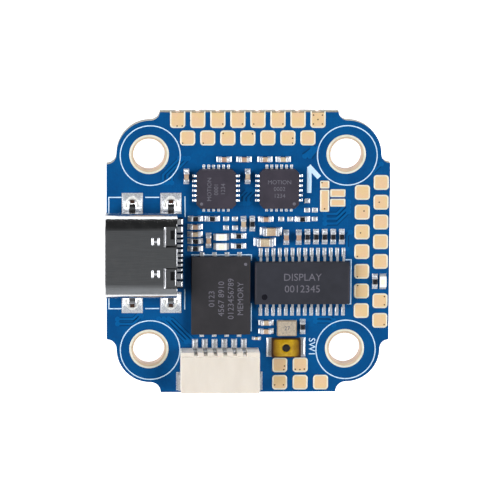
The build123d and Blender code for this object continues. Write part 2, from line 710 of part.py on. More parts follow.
FLANGE_TOP = BUTTON_TOP - FLANGE_GAP
FLANGE_LOW = FLANGE_TOP - FLANGE_T
STEM_TOP = BUTTON_TOP + BUTTON_FILM + BUTTON_TRAVEL + 0.01

with BuildPart() as boot_button_base:
    with BuildSketch(TOP.offset(TINNED)):
        with Locations(BUTTON_AT):
            RectangleRounded(BUTTON_SIZE[0], BUTTON_SIZE[1], 0.15)
    extrude(amount=BUTTON_TOP - TINNED)
    with BuildSketch(TOP.offset(BUTTON_TOP)):
        with Locations(BUTTON_AT):
            Circle(DOME_R + 0.05)
    extrude(amount=BUTTON_FLOOR - BUTTON_TOP, mode=Mode.SUBTRACT)

with BuildPart() as boot_button_film:
    with BuildSketch(TOP.offset(BUTTON_TOP)):
        with Locations(BUTTON_AT):
            RectangleRounded(*BUTTON_FILM_SIZE, 0.3)
            Circle(STEM_R + STEM_CLEARANCE, mode=Mode.SUBTRACT)
    extrude(amount=BUTTON_FILM)

with BuildPart() as boot_button_plunger:
    with BuildSketch(TOP.offset(FLANGE_LOW)):
        with Locations(BUTTON_AT):
            Circle(FLANGE_R)
    extrude(amount=FLANGE_T)
    with BuildSketch(TOP.offset(FLANGE_LOW)):
        with Locations(BUTTON_AT):
            Circle(STEM_R)
    extrude(amount=STEM_TOP - FLANGE_LOW)
    fillet(boot_button_plunger.edges().group_by(Axis.Z)[-1], STEM_ROUND)

# The dome is a shallow spherical shell, its rim on the floor of the base.
dome_sphere = (DOME_R**2 + DOME_RISE**2) / (2 * DOME_RISE)
dome_span = degrees(asin(DOME_R / dome_sphere))
dome_centre = BUTTON_FLOOR + DOME_T - (dome_sphere - DOME_RISE)
with BuildPart() as boot_button_dome:
    with BuildSketch(Plane.XZ.offset(-BUTTON_AT[1])):
        with BuildLine():
            rim = CenterArc((BUTTON_AT[0], dome_centre), dome_sphere, 90 - dome_span, dome_span)
            hollow = CenterArc((BUTTON_AT[0], dome_centre), dome_sphere - DOME_T, 90 - dome_span, dome_span)
            Line(rim @ 0, hollow @ 0)
            Line(rim @ 1, hollow @ 1)
        make_face()
    revolve(axis=Axis((*BUTTON_AT, 0), (0, 0, 1)))

with BuildPart() as boot_button_terminals:
    for s in (-1, 1):
        with BuildSketch(TOP.offset(TINNED)):
            with Locations((BUTTON_AT[0] + s * (BUTTON_SIZE[0] + BUTTON_TERMINAL[0]) / 2, BUTTON_AT[1])):
                Rectangle(BUTTON_TERMINAL[0], BUTTON_TERMINAL[1])
        extrude(amount=BUTTON_TERMINAL[2])
add_lands(top_lands, step_out([(*BUTTON_AT, 0)], BUTTON_SIZE[0] / 2 + 0.2), 0.6, BUTTON_SIZE[1])

# ---- Passives on the component face ----------------------------------------------------

SIZE_0402 = (1.0, 0.5, 0.5)
SIZE_0402_R = (1.0, 0.5, 0.33)
SIZE_0603 = (1.6, 0.8, 0.8)
SIZE_0805 = (2.0, 1.25, 1.2)
SIZE_0201 = (0.6, 0.3, 0.3)
WRAP_0402 = 0.24
WRAP_0603 = 0.35
WRAP_0805 = 0.4
WRAP_0201 = 0.15
COAT_WIDTH = 0.44
COAT_T = 0.02
LAND_0402 = (0.55, 0.58)
LAND_0603 = (0.6, 0.85)
LAND_0805 = (0.7, 1.3)
LAND_0201 = (0.34, 0.34)

CAPS_ACROSS = [(-2.4, 9.5), (-0.37, 9.5), (1.75, 9.5), (3.6, 9.5), (-5.32, 2.6), (-5.32, 1.85)]
CAPS_ACROSS += [(1.87, 3.38), (1.95, -7.3), (1.95, -8.18)]
CAPS_ALONG = [(-6.22, 7.75), (0.0, 7.75), (-0.4, 2.9), (-3.95, 1.2), (3.96, 1.5), (5.23, 1.5)]
RESISTORS_ACROSS = [(-5.28, 3.43), (-3.58, 3.43), (-5.3, 1.12), (-5.3, 0.36)]
RESISTORS_ACROSS += [(-0.89, 1.65), (-0.89, 0.62), (5.6, 3.37)]
RESISTORS_ALONG = [(x, 1.55) for x in (6.12, 7.0, 7.88, 8.75, 9.63)]
RESISTORS_ALONG += [(0.5, 2.9), (5.7, -7.73), (13.05, -3.07)]
CAPS_0603 = [(2.4, 2.13), (1.77, 1.02)]
LEDS = [(-2.65, 1.57, 180), (-2.65, 0.6, 180), (13.87, -3.07, 90)]

cap_places = [(x, y, 0) for x, y in CAPS_ACROSS] + [(x, y, 90) for x, y in CAPS_ALONG]
resistor_places = [(x, y, 0) for x, y in RESISTORS_ACROSS] + [(x, y, 90) for x, y in RESISTORS_ALONG]
bulk_places = [(x, y, 0) for x, y in CAPS_0603]

cap_bodies, cap_ends = chips(TOP, cap_places, SIZE_0402, WRAP_0402)
large_capacitor_bodies, large_capacitor_ends = chips(TOP, bulk_places, SIZE_0603, WRAP_0603)
resistor_bodies, resistor_ends = chips(TOP, resistor_places, SIZE_0402_R, WRAP_0402)
coat_low = TINNED + SIZE_0402_R[2] - COAT_T
coat_length = SIZE_0402_R[0] - 2 * WRAP_0402
resistor_coats = blocks(TOP, resistor_places, coat_length, COAT_WIDTH, coat_low, coat_low + COAT_T)
add_lands(top_lands, step_out(cap_places + resistor_places, 0.51), *LAND_0402)
add_lands(top_lands, step_out(bulk_places, 0.83), *LAND_0603)

TINY_CAPACITOR = [(0.98, -8.92, 0)]
tiny_body, tiny_ends = chips(TOP, TINY_CAPACITOR, SIZE_0201, WRAP_0201)
small_capacitor_bodies = joined(cap_bodies, tiny_body)
small_capacitor_ends = joined(cap_ends, tiny_ends)
add_lands(top_lands, step_out(TINY_CAPACITOR, 0.29), *LAND_0201)

# Status lights: a white reflector block, a clear window in it and two terminals
LED_SIZE = (1.1, 0.68, 0.5)
LED_WINDOW = (0.56, 0.44)
LED_TERMINAL = (0.2, 0.6, 0.28)
LED_LAND = (0.42, 0.66)
led_bodies = blocks(TOP, LEDS, LED_SIZE[0], LED_SIZE[1], TINNED, TINNED + LED_SIZE[2], corner=0.08)
led_windows = blocks(TOP, LEDS, *LED_WINDOW, TINNED + 0.2, TINNED + LED_SIZE[2] + 0.02, corner=0.12)
led_bodies = without(led_bodies, led_windows)
led_ends = step_out(LEDS, (LED_SIZE[0] + LED_TERMINAL[0]) / 2)
led_terminals = blocks(TOP, led_ends, LED_TERMINAL[0], LED_TERMINAL[1], TINNED, TINNED + LED_TERMINAL[2])
add_lands(top_lands, step_out(LEDS, 0.6), *LED_LAND)

# ---- Microcontroller, on the underside -------------------------------------------------

MCU_AT = (0.3, -3.2)
MCU_SIDE = 10.0
MCU_TOP = 1.6
MCU_TIP = 6.0
MCU_PITCH = 0.5
MCU_LEAD = (0.13, 0.22)
MCU_DIMPLE_IN = 1.2
MCU_DIMPLE_R = 0.4
MCU_LAND = (1.1, 0.3)

mcu_places = []
for turn in (0, 90, 180, 270):
    mcu_places += row_of(16, MCU_PITCH, *MCU_AT, turn)
mcu_lands = four_rows(16, MCU_PITCH, *MCU_AT, 5.78)
mcu_leads = gull_wings(mcu_places, UNDER, 4.7, MCU_TIP, 0.85, 0.6, *MCU_LEAD)
mcu_moulding = moulded(UNDER, *MCU_AT, MCU_SIDE, MCU_SIDE, CHIP_LOW, MCU_TOP)
with BuildPart() as mcu_body:
    add(mcu_moulding.part)
    with BuildSketch(UNDER.offset(MCU_TOP)):
        dimple_out = MCU_SIDE / 2 - MCU_DIMPLE_IN
        with Locations((MCU_AT[0] - dimple_out, MCU_AT[1] - dimple_out)):
            Circle(MCU_DIMPLE_R)
    extrude(amount=-0.08, mode=Mode.SUBTRACT)
    add(mcu_leads.part, mode=Mode.SUBTRACT)
add_lands(under_lands, mcu_lands, *MCU_LAND)

# Its crystal. Underside places here and below are in the underside's own plane.
MCU_CRYSTAL_AT = (8.9, -5.6)
MCU_CRYSTAL_SIZE = (3.2, 2.5)
mcu_crystal_base, mcu_crystal_lid = crystal(UNDER, *MCU_CRYSTAL_AT, *MCU_CRYSTAL_SIZE)
for sx, sy in CORNERS:
    under_lands.append((MCU_CRYSTAL_AT[0] + 1.1 * sx, MCU_CRYSTAL_AT[1] + 0.85 * sy, 0, 1.2, 1.0))

# ---- Power supply, on the underside ----------------------------------------------------

INDUCTOR_AT = (-3.6, 6.0)
INDUCTOR_SIDE = 4.0
INDUCTOR_TOP = 2.0
INDUCTOR_CORNER = 0.5
INDUCTOR_TERMINAL = (1.0, 3.2, 0.2)
INDUCTOR_LAND = (1.3, 3.4)

inductor_place = [(*INDUCTOR_AT, 0)]
terminal_length, terminal_width, terminal_top = INDUCTOR_TERMINAL
inductor_terminals = blocks(
    UNDER, step_out(inductor_place, 1.5), terminal_length, terminal_width, TINNED, terminal_top
)
inductor_block = blocks(
    UNDER, inductor_place, INDUCTOR_SIDE, INDUCTOR_SIDE, TINNED + 0.02, INDUCTOR_TOP, corner=INDUCTOR_CORNER
)
inductor_core = without(inductor_block, inductor_terminals)
add_lands(under_lands, step_out(inductor_place, 1.6), *INDUCTOR_LAND)

SMALL_CHIP = (2.9, 1.6)
SMALL_CHIP_SPAN = (0.12, 1.15)
SMALL_LEAD = (0.13, 0.4)
SMALL_LAND = (0.7, 0.55)
BUCK_AT = (1.0, 6.0)
LDO_AT = (8.0, 4.4)


def small_outline(x, y, counts):
    """Six or five lead regulator: body and leads, counts giving the leads on each long side."""
    places = []
    lands = []
    for count, turn in zip(counts, (90, -90)):
        pitch = 1.9 / (count - 1)
        places += row_of(count, pitch, x, y, turn)
        lands += row_of(count, pitch, x, y + 1.3 * sin(radians(turn)), turn)
    leads = gull_wings(places, UNDER, 0.6, 1.4, 0.6, 0.4, *SMALL_LEAD)
    body = without(moulded(UNDER, x, y, *SMALL_CHIP, *SMALL_CHIP_SPAN), leads)
    add_lands(under_lands, lands, *SMALL_LAND)
    return body, leads


step_down_regulator_body, step_down_regulator_leads = small_outline(*BUCK_AT, (3, 3))
low_drop_regulator_body, low_drop_regulator_leads = small_outline(*LDO_AT, (2, 3))

SUPPLY_CAPS = [(3.95, 5.2, 0), (3.95, 7.0, 0)]
supply_bodies, supply_ends = chips(UNDER, SUPPLY_CAPS, SIZE_0805, WRAP_0805)
add_lands(under_lands, step_out(SUPPLY_CAPS, 1.0), *LAND_0805)

# ---- Barometric sensor, on the underside -----------------------------------------------

BARO_AT = (9.0, 0.4)
BARO_SIZE = (2.0, 2.5)
BARO_SEAM = 0.3
BARO_TOP = 1.0
BARO_EDGE = 0.08
BARO_WALL = 0.12
BARO_VENT = (0.4, -0.6)
BARO_VENT_R = 0.15
BARO_LAND = (0.5, 0.35)
BARO_PITCH = 0.6

barometer_base = blocks(UNDER, [(*BARO_AT, 0)], *BARO_SIZE, TINNED, BARO_SEAM)
with BuildPart() as barometer_lid:
    with BuildSketch(UNDER.offset(BARO_SEAM)):
        with Locations(BARO_AT):
            RectangleRounded(BARO_SIZE[0] - 2 * BARO_EDGE, BARO_SIZE[1] - 2 * BARO_EDGE, 0.25)
    extrude(amount=BARO_TOP - BARO_SEAM)
    with BuildSketch(UNDER.offset(BARO_SEAM)):
        with Locations(BARO_AT):
            inset = 2 * (BARO_EDGE + BARO_WALL)
            RectangleRounded(BARO_SIZE[0] - inset, BARO_SIZE[1] - inset, 0.15)
    extrude(amount=BARO_TOP - BARO_WALL - BARO_SEAM, mode=Mode.SUBTRACT)
    with BuildSketch(UNDER.offset(BARO_TOP)):
        with Locations((BARO_AT[0] + BARO_VENT[0], BARO_AT[1] + BARO_VENT[1])):
            Circle(BARO_VENT_R)
    extrude(amount=-2 * BARO_WALL, mode=Mode.SUBTRACT)
for s in (-1, 1):
    add_lands(under_lands, row_of(4, BARO_PITCH, BARO_AT[0] + s * 0.85, BARO_AT[1], 0), *BARO_LAND)

# ---- Passives on the underside ---------------------------------------------------------

UNDER_CAPS = [(-2.4, -10.4, 0), (-0.4, -10.4, 0), (1.6, -10.4, 0), (3.6, -10.4, 0)]
UNDER_CAPS += [(-6.7, -1.6, 90), (-6.7, 0.3, 90), (7.15, -7.6, 90), (5.6, -10.4, 0), (8.9, -3.6, 0)]
UNDER_RESISTORS = [(7.15, 0.2, 90), (7.15, 2.0, 90), (6.2, 6.6, 90), (7.1, 6.6, 90), (-6.6, 2.6, 90)]
under_cap_bodies, under_cap_ends = chips(UNDER, UNDER_CAPS, SIZE_0402, WRAP_0402)
underside_resistor_bodies, under_resistor_ends = chips(UNDER, UNDER_RESISTORS, SIZE_0402_R, WRAP_0402)
underside_resistor_coats = blocks(
    UNDER, UNDER_RESISTORS, coat_length, COAT_WIDTH, coat_low, coat_low + COAT_T
)
underside_capacitor_bodies = joined(under_cap_bodies, supply_bodies)
underside_chip_ends = joined(under_cap_ends, supply_ends, under_resistor_ends)
add_lands(under_lands, step_out(UNDER_CAPS + UNDER_RESISTORS, 0.51), *LAND_0402)

component_lands = land_group(TOP, top_lands)
underside_lands = land_group(UNDER, under_lands)

# ---- Label and write every piece -------------------------------------------------------

PIECES = {
    "circuit_board": circuit_board,
    "mounting_hole_plating": mounting_hole_plating,
    "edge_pads": edge_pads,
    "face_pads": face_pads,
    "jumper_pads": jumper_pads,
    "spare_lands": spare_lands,
    "component_lands": component_lands,
    "underside_lands": underside_lands,
    "usb_shell": usb_shell,
    "usb_moulding": usb_moulding,
    "usb_contacts": usb_contacts,
    "usb_latch_plate": usb_latch_plate,
    "usb_leg_lands": usb_leg_lands,
    "port6_housing": port6_housing,
    "port6_contacts": port6_contacts,
    "port6_fixing_tabs": port6_fixing_tabs,
    "port8_housing": port8_housing,
    "port8_contacts": port8_contacts,
    "port8_fixing_tabs": port8_fixing_tabs,
    "gyro_1_body": gyro_1_body,
    "gyro_1_terminals": gyro_1_terminals,
    "gyro_2_body": gyro_2_body,
    "gyro_2_terminals": gyro_2_terminals,
    "flash_body": flash_body,
    "flash_terminals": flash_terminals,
    "osd_body": osd_body,
    "osd_leads": osd_leads,
    "osd_crystal_base": osd_crystal_base,
    "osd_crystal_lid": osd_crystal_lid,
    "boot_button_base": boot_button_base,
    "boot_button_terminals": boot_button_terminals,
    "boot_button_dome": boot_button_dome,
    "boot_button_film": boot_button_film,
    "boot_button_plunger": boot_button_plunger,
    "small_capacitor_bodies": small_capacitor_bodies,
    "small_capacitor_ends": small_capacitor_ends,
    "large_capacitor_bodies": large_capacitor_bodies,
    "large_capacitor_ends": large_capacitor_ends,
    "resistor_bodies": resistor_bodies,
    "resistor_coats": resistor_coats,
    "resistor_ends": resistor_ends,
    "led_bodies": led_bodies,
    "led_windows": led_windows,
    "led_terminals": led_terminals,
    "mcu_body": mcu_body,
    "mcu_leads": mcu_leads,
    "mcu_crystal_base": mcu_crystal_base,
    "mcu_crystal_lid": mcu_crystal_lid,
    "inductor_core": inductor_core,
    "inductor_terminals": inductor_terminals,
    "step_down_regulator_body": step_down_regulator_body,
    "step_down_regulator_leads": step_down_regulator_leads,
    "low_drop_regulator_body": low_drop_regulator_body,
    "low_drop_regulator_leads": low_drop_regulator_leads,
    "barometer_base": barometer_base,
    "barometer_lid": barometer_lid,
    "underside_capacitor_bodies": underside_capacitor_bodies,
    "underside_resistor_bodies": underside_resistor_bodies,
    "underside_resistor_coats": underside_resistor_coats,
    "underside_chip_ends": underside_chip_ends,
}

os.makedirs("parts", exist_ok=True)
for name, piece in PIECES.items():
    piece.part.label = name
    export_step(piece.part, f"parts/{name}.step")
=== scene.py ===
import math

import bpy
from mathutils import Euler, Matrix, Vector


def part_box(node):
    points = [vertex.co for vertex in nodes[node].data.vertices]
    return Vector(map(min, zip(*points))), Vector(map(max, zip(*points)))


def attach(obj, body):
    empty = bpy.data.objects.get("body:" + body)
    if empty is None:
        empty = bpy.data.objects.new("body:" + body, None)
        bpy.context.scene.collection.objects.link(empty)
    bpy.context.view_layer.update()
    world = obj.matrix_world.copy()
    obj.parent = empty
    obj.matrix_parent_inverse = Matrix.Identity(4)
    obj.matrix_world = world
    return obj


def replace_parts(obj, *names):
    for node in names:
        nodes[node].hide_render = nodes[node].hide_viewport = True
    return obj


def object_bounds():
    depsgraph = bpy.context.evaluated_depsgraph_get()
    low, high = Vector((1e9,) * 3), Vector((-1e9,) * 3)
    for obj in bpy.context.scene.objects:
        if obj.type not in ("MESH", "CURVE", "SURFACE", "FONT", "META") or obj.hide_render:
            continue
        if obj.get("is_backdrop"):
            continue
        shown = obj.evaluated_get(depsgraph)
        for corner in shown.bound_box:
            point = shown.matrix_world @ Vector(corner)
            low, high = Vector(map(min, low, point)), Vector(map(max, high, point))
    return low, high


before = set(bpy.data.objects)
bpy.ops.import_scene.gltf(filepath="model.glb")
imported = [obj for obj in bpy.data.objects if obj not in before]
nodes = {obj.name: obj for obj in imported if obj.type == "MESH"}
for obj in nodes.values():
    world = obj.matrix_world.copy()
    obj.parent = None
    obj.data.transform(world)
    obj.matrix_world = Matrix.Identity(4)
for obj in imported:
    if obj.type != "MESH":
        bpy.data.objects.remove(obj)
cad_low, cad_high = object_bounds()

# Lengths below are millimetres in the CAD frame; MM turns them into scene metres.
MM = 0.001
BOARD_T = 1.6
LAND_T = 0.05
COPPER = 0.035
TOP_FACE = (0.0, 1)
UNDER_FACE = (-BOARD_T, -1)


# ---- Shader helpers --------------------------------------------------------------------

def srgb(red, green, blue):
    """A colour given as 0-255 display values, as a linear RGBA."""
    linear = []
    for value in (red, green, blue):
        v = value / 255
        linear.append(v / 12.92 if v <= 0.04045 else ((v + 0.055) / 1.055) ** 2.4)
    return (*linear, 1.0)


class Shader:
    """A node material with short names for the nodes that every finish here is made of."""

    def __init__(self, name, roughness=0.5, metallic=0.0, specular=0.5, coat=0.0, coat_roughness=0.1):
        self.material = bpy.data.materials.new(name)
        self.material.use_nodes = True
        self.tree = self.material.node_tree
        self.bsdf = self.tree.nodes["Principled BSDF"]
        self.set("Roughness", roughness)
        self.set("Metallic", metallic)
        self.set("Specular IOR Level", specular)
        self.set("Coat Weight", coat)
        self.set("Coat Roughness", coat_roughness)
        self.points = self.node("ShaderNodeMapping")
        self.points.inputs["Scale"].default_value = (1 / MM, 1 / MM, 1 / MM)
        coordinates = self.node("ShaderNodeTexCoord")
        self.link(coordinates.outputs["Object"], self.points.inputs["Vector"])

    def node(self, kind):
        return self.tree.nodes.new(kind)

    def link(self, source, target):
        self.tree.links.new(source, target)

    def set(self, socket, value):
        self.bsdf.inputs[socket].default_value = value

    def feed(self, socket, source):
        self.link(source, self.bsdf.inputs[socket])

    def stretched(self, scale):
        """Object coordinates in millimetres, scaled differently along X, Y and Z."""
        mapping = self.node("ShaderNodeMapping")
        mapping.inputs["Scale"].default_value = scale
        self.link(self.points.outputs["Vector"], mapping.inputs["Vector"])
        return mapping.outputs["Vector"]

    def noise(self, scale, detail=4.0, rough=0.55, vector=None):
        """Noise with about `scale` features to the millimetre."""
        node = self.node("ShaderNodeTexNoise")
        node.inputs["Scale"].default_value = scale
        node.inputs["Detail"].default_value = detail
        node.inputs["Roughness"].default_value = rough
        self.link(vector or self.points.outputs["Vector"], node.inputs["Vector"])
        return node.outputs["Fac"]

    def cells(self, scale, vector=None):
        node = self.node("ShaderNodeTexVoronoi")
        node.inputs["Scale"].default_value = scale
        self.link(vector or self.points.outputs["Vector"], node.inputs["Vector"])
        return node.outputs["Distance"]

    def waves(self, scale, direction, distortion=0.0, vector=None):
        node = self.node("ShaderNodeTexWave")
        node.bands_direction = direction
        node.inputs["Scale"].default_value = scale
        node.inputs["Distortion"].default_value = distortion
        self.link(vector or self.points.outputs["Vector"], node.inputs["Vector"])
        return node.outputs["Fac"]

    def spread(self, source, low, high, to_low=0.0, to_high=1.0):
        node = self.node("ShaderNodeMapRange")
        node.clamp = True
        for socket, value in (("From Min", low), ("From Max", high), ("To Min", to_low), ("To Max", to_high)):
            node.inputs[socket].default_value = value
        self.link(source, node.inputs["Value"])
        return node.outputs["Result"]

    def maths(self, operation, first, second):
        node = self.node("ShaderNodeMath")
        node.operation = operation
        for socket, value in zip(node.inputs, (first, second)):
            if isinstance(value, (int, float)):
                socket.default_value = value
            else:
                self.link(value, socket)
        return node.outputs["Value"]

    def blend(self, factor, first, second):
        """Colour mix; either colour may be a constant or a socket."""
        node = self.node("ShaderNodeMix")
        node.data_type = "RGBA"
        self.link(factor, node.inputs["Factor"])
        for socket, value in ((node.inputs[6], first), (node.inputs[7], second)):
            if isinstance(value, tuple):
                socket.default_value = value
            else:
                self.link(value, socket)
        return node.outputs[2]

    def facing_up(self):
        """1 on faces that lie in the board's plane, 0 on upright ones."""
        normal = self.node("ShaderNodeNewGeometry")
        split = self.node("ShaderNodeSeparateXYZ")
        self.link(normal.outputs["Normal"], split.inputs["Vector"])
        size = self.maths("ABSOLUTE", split.outputs["Z"], 0.0)
        return self.spread(size, 0.4, 0.6)

    def bare_rim(self, width):
        """1 along the board's +Y edge, where mask and gold stop short of the cut."""
        place = self.node("ShaderNodeSeparateXYZ")
        self.link(self.points.outputs["Vector"], place.inputs["Vector"])
        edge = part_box("circuit_board")[1].y / MM
        return self.spread(place.outputs["Y"], edge - width, edge - width + 0.05)

    def bump(self, height, strength, distance):
        """Bump whose full height is `distance` millimetres."""
        node = self.node("ShaderNodeBump")
        node.inputs["Strength"].default_value = strength
        node.inputs["Distance"].default_value = distance * MM
        self.link(height, node.inputs["Height"])
        self.feed("Normal", node.outputs["Normal"])


# ---- Materials -------------------------------------------------------------------------

def solder_mask():
    """Glossy blue mask over woven laminate; cut edges show the pale glass layers."""
    s = Shader("solder_mask", roughness=0.38, specular=0.12, coat=0.03, coat_roughness=0.2)
    broad = s.spread(s.noise(0.35, 3), 0.35, 0.65)
    fine = s.spread(s.noise(3.5, 5, 0.6), 0.3, 0.7)
    weave_x = s.waves(1.1, "X", 0.6)
    weave_y = s.waves(1.1, "Y", 0.6)
    weave = s.maths("MULTIPLY", weave_x, weave_y)
    face = s.blend(broad, srgb(0, 71, 128), srgb(0, 82, 141))
    face = s.blend(s.maths("MULTIPLY", fine, 0.3), face, srgb(0, 60, 108))
    layers = s.waves(1.6, "Z", 0.3)
    fibres = s.noise(1.0, 6, 0.7, s.stretched((1.5, 1.5, 16.0)))
    side = s.blend(s.spread(fibres, 0.35, 0.65), srgb(96, 92, 80), srgb(142, 138, 124))
    side = s.blend(s.maths("MULTIPLY", layers, 0.35), side, srgb(80, 84, 76))
    up = s.facing_up()
    face = s.blend(s.bare_rim(0.12), face, side)
    s.feed("Base Color", s.blend(up, side, face))
    s.feed("Roughness", s.spread(fine, 0.0, 1.0, 0.36, 0.5))
    s.bump(s.maths("ADD", weave, s.maths("MULTIPLY", fine, 0.5)), 0.35, 0.012)
    return s.material


def mask_over(name, dark, light):
    """The same mask where it lies over copper or over laminate beside it; also the near-black painted shadow
    behind the USB shell.
    """
    s = Shader(name, roughness=0.36, specular=0.16, coat=0.04, coat_roughness=0.2)
    tone = s.spread(s.noise(0.9, 4), 0.3, 0.7)
    s.feed("Base Color", s.blend(tone, dark, light))
    s.bump(s.noise(5.0, 3), 0.25, 0.008)
    return s.material


def gold():
    """Thin gold over nickel, slightly stained, with fine brush lines from the plating."""
    s = Shader("gold", roughness=0.45, metallic=0.2, specular=0.5)
    patch = s.spread(s.noise(0.8, 3), 0.35, 0.65)
    speck = s.spread(s.noise(7.0, 5, 0.65), 0.35, 0.75)
    colour = s.blend(patch, srgb(238, 202, 162), srgb(236, 206, 152))
    colour = s.blend(s.maths("MULTIPLY", speck, 0.35), colour, srgb(224, 178, 140))
    colour = s.blend(s.maths("MULTIPLY", s.bare_rim(0.17), 0.95), colour, srgb(150, 136, 112))
    s.feed("Base Color", s.blend(s.facing_up(), srgb(150, 118, 84), colour))
    s.feed("Roughness", s.spread(speck, 0.0, 1.0, 0.36, 0.52))
    s.bump(speck, 0.2, 0.006)
    return s.material


def pad_rim_highlight():
    """Rolled shoulder of a pad, coloured pale: a painted highlight along the pad's edge."""
    s = Shader("pad_rim_highlight", roughness=0.35, metallic=0.2, specular=0.6)
    tone = s.spread(s.noise(2.0, 3), 0.35, 0.65)
    s.feed("Base Color", s.blend(tone, srgb(226, 226, 206), srgb(238, 236, 222)))
    s.bump(s.noise(9.0, 3), 0.2, 0.004)
    return s.material


def ring_gold():
    """Plating of the mounting holes: duller, with a brownish wall."""
    s = Shader("ring_gold", roughness=0.4, metallic=0.25, specular=0.5)
    tone = s.spread(s.noise(1.2, 4), 0.3, 0.7)
    face = s.blend(tone, srgb(208, 184, 156), srgb(224, 200, 172))
    wall = s.blend(tone, srgb(180, 148, 118), srgb(206, 172, 138))
    s.feed("Base Color", s.blend(s.facing_up(), wall, face))
    s.bump(s.noise(6.0, 4), 0.25, 0.008)
    return s.material


def solder(name, tint, rough, metallic):
    """Reflowed tin: bright, with a faint grain and flow ripples."""
    s = Shader(name, roughness=rough, metallic=metallic, specular=0.8)
    grain = s.noise(5.0, 4, 0.55)
    flow = s.noise(2.2, 2)
    dull = srgb(*(int(value * 0.86) for value in tint))
    s.feed("Base Color", s.blend(s.spread(grain, 0.35, 0.7), srgb(*tint), dull))
    s.feed("Roughness", s.spread(grain, 0.3, 0.7, rough - 0.06, rough + 0.12))
    s.bump(s.maths("ADD", flow, s.maths("MULTIPLY", grain, 0.15)), 0.3, 0.025)
    return s.material


def tin_plate(name, tint=(214, 216, 220), rough=0.3):
    """Matt tin plate on stamped leads and end caps, with drawing lines."""
    s = Shader(name, roughness=rough, metallic=0.6, specular=0.6)
    lines = s.noise(6.0, 4, 0.6, s.stretched((1.0, 1.0, 5.0)))
    worn = srgb(*(int(value * 0.8) for value in tint))
    s.feed("Base Color", s.blend(s.spread(lines, 0.4, 0.7), srgb(*tint), worn))
    s.feed("Roughness", s.spread(lines, 0.3, 0.7, rough - 0.05, rough + 0.12))
    s.bump(lines, 0.3, 0.01)
    return s.material


def shell_steel():
    """Drawn steel of the USB shell: satin, with long draw lines and faint handling marks."""
    s = Shader("shell_steel", roughness=0.2, metallic=1.0)
    draw = s.noise(1.0, 6, 0.6, s.stretched((0.5, 9.0, 9.0)))
    marks = s.spread(s.noise(1.3, 4), 0.45, 0.7)
    colour = s.blend(s.spread(draw, 0.35, 0.65), srgb(192, 192, 193), srgb(204, 204, 205))
    colour = s.blend(s.maths("MULTIPLY", marks, 0.4), colour, srgb(184, 183, 182))
    s.feed("Base Color", colour)
    s.feed("Roughness", s.spread(marks, 0.0, 1.0, 0.16, 0.22))
    s.bump(draw, 0.1, 0.0006)
    return s.material


def moulded(name, dark, light, rough, grain=8.0, depth=0.012, specular=0.4):
    """Moulded plastic or epoxy with a fine eroded grain and slight colour drift."""
    s = Shader(name, roughness=rough, specular=specular)
    drift = s.spread(s.noise(0.5, 3), 0.3, 0.7)
    fine = s.noise(grain, 5, 0.65)
    colour = s.blend(drift, dark, light)
    s.feed("Base Color", s.blend(s.spread(fine, 0.5, 0.85), colour, light))
    s.feed("Roughness", s.spread(fine, 0.3, 0.7, rough - 0.05, rough + 0.08))
    s.bump(fine, 0.4, depth)
    return s.material


def ivory_nylon():
    """Ivory nylon of the wire ports: waxy, a little light passes into it, faint flow lines. Upright walls are
    painted lighter than the tops.
    """
    s = Shader("ivory_nylon", roughness=0.46, specular=0.4)
    s.set("Subsurface Weight", 0.12)
    s.set("Subsurface Radius", (0.6 * MM, 0.45 * MM, 0.3 * MM))
    s.set("Subsurface Scale", 1.0)
    flow = s.noise(0.7, 4, 0.6, s.stretched((1.0, 0.35, 1.0)))
    fine = s.noise(10.0, 4)
    face = s.blend(s.spread(flow, 0.35, 0.65), srgb(217, 208, 196), srgb(223, 215, 204))
    # Painted light: upright walls get a lighter cream than the tops, standing in for the light they miss.
    s.feed("Base Color", s.blend(s.facing_up(), srgb(246, 240, 230), face))
    s.feed("Roughness", s.spread(fine, 0.3, 0.7, 0.4, 0.55))
    s.bump(fine, 0.3, 0.008)
    return s.material


def ceramic(name, dark, light, rough=0.5):
    """Fired ceramic of chip parts: fine speckle, softly worn."""
    s = Shader(name, roughness=rough, specular=0.45)
    speck = s.spread(s.cells(14.0), 0.05, 0.4)
    drift = s.noise(1.8, 4)
    colour = s.blend(s.spread(drift, 0.35, 0.65), dark, light)
    s.feed("Base Color", s.blend(s.maths("MULTIPLY", speck, 0.25), colour, dark))
    s.bump(s.noise(12.0, 4), 0.3, 0.008)
    return s.material


def capacitor_ceramic():
    """Capacitor bodies, whose fired colour differs from part to part."""
    s = Shader("capacitor_ceramic", roughness=0.42, specular=0.45)
    batch = s.spread(s.cells(0.55), 0.25, 0.75)
    fine = s.noise(11.0, 5)
    colour = s.blend(batch, srgb(176, 140, 120), srgb(206, 192, 162))
    s.feed("Base Color", s.blend(s.spread(fine, 0.4, 0.8), colour, srgb(150, 122, 104)))
    s.bump(fine, 0.3, 0.008)
    return s.material


def amber_film():
    """Polyimide film over the snap dome: amber, glossy, browner where it's bonded."""
    s = Shader("amber_film", roughness=0.2, specular=0.6, coat=0.7, coat_roughness=0.06)
    place = s.node("ShaderNodeSeparateXYZ")
    s.link(s.points.outputs["Vector"], place.inputs["Vector"])
    low, high = (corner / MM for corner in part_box("boot_button_film"))
    across = s.maths("ABSOLUTE", s.maths("SUBTRACT", place.outputs["X"], (low.x + high.x) / 2), 0.0)
    edge = s.spread(across, 0.6, (high.x - low.x) / 2)
    cloud = s.spread(s.noise(1.6, 3), 0.35, 0.65)
    colour = s.blend(cloud, srgb(170, 130, 12), srgb(198, 160, 34))
    s.feed("Base Color", s.blend(s.maths("MULTIPLY", edge, 0.92), colour, srgb(92, 54, 6)))
    s.bump(s.noise(3.0, 3), 0.3, 0.02)
    return s.material


def white_ink():
    """Screen-printed legend ink: chalky white with a thin, slightly ragged build."""
    s = Shader("white_ink", roughness=0.55, specular=0.35)
    grain = s.noise(8.0, 5, 0.7)
    s.feed("Base Color", s.blend(s.spread(grain, 0.45, 0.8), srgb(206, 232, 252), srgb(176, 210, 238)))
    s.bump(grain, 0.4, 0.01)
    return s.material


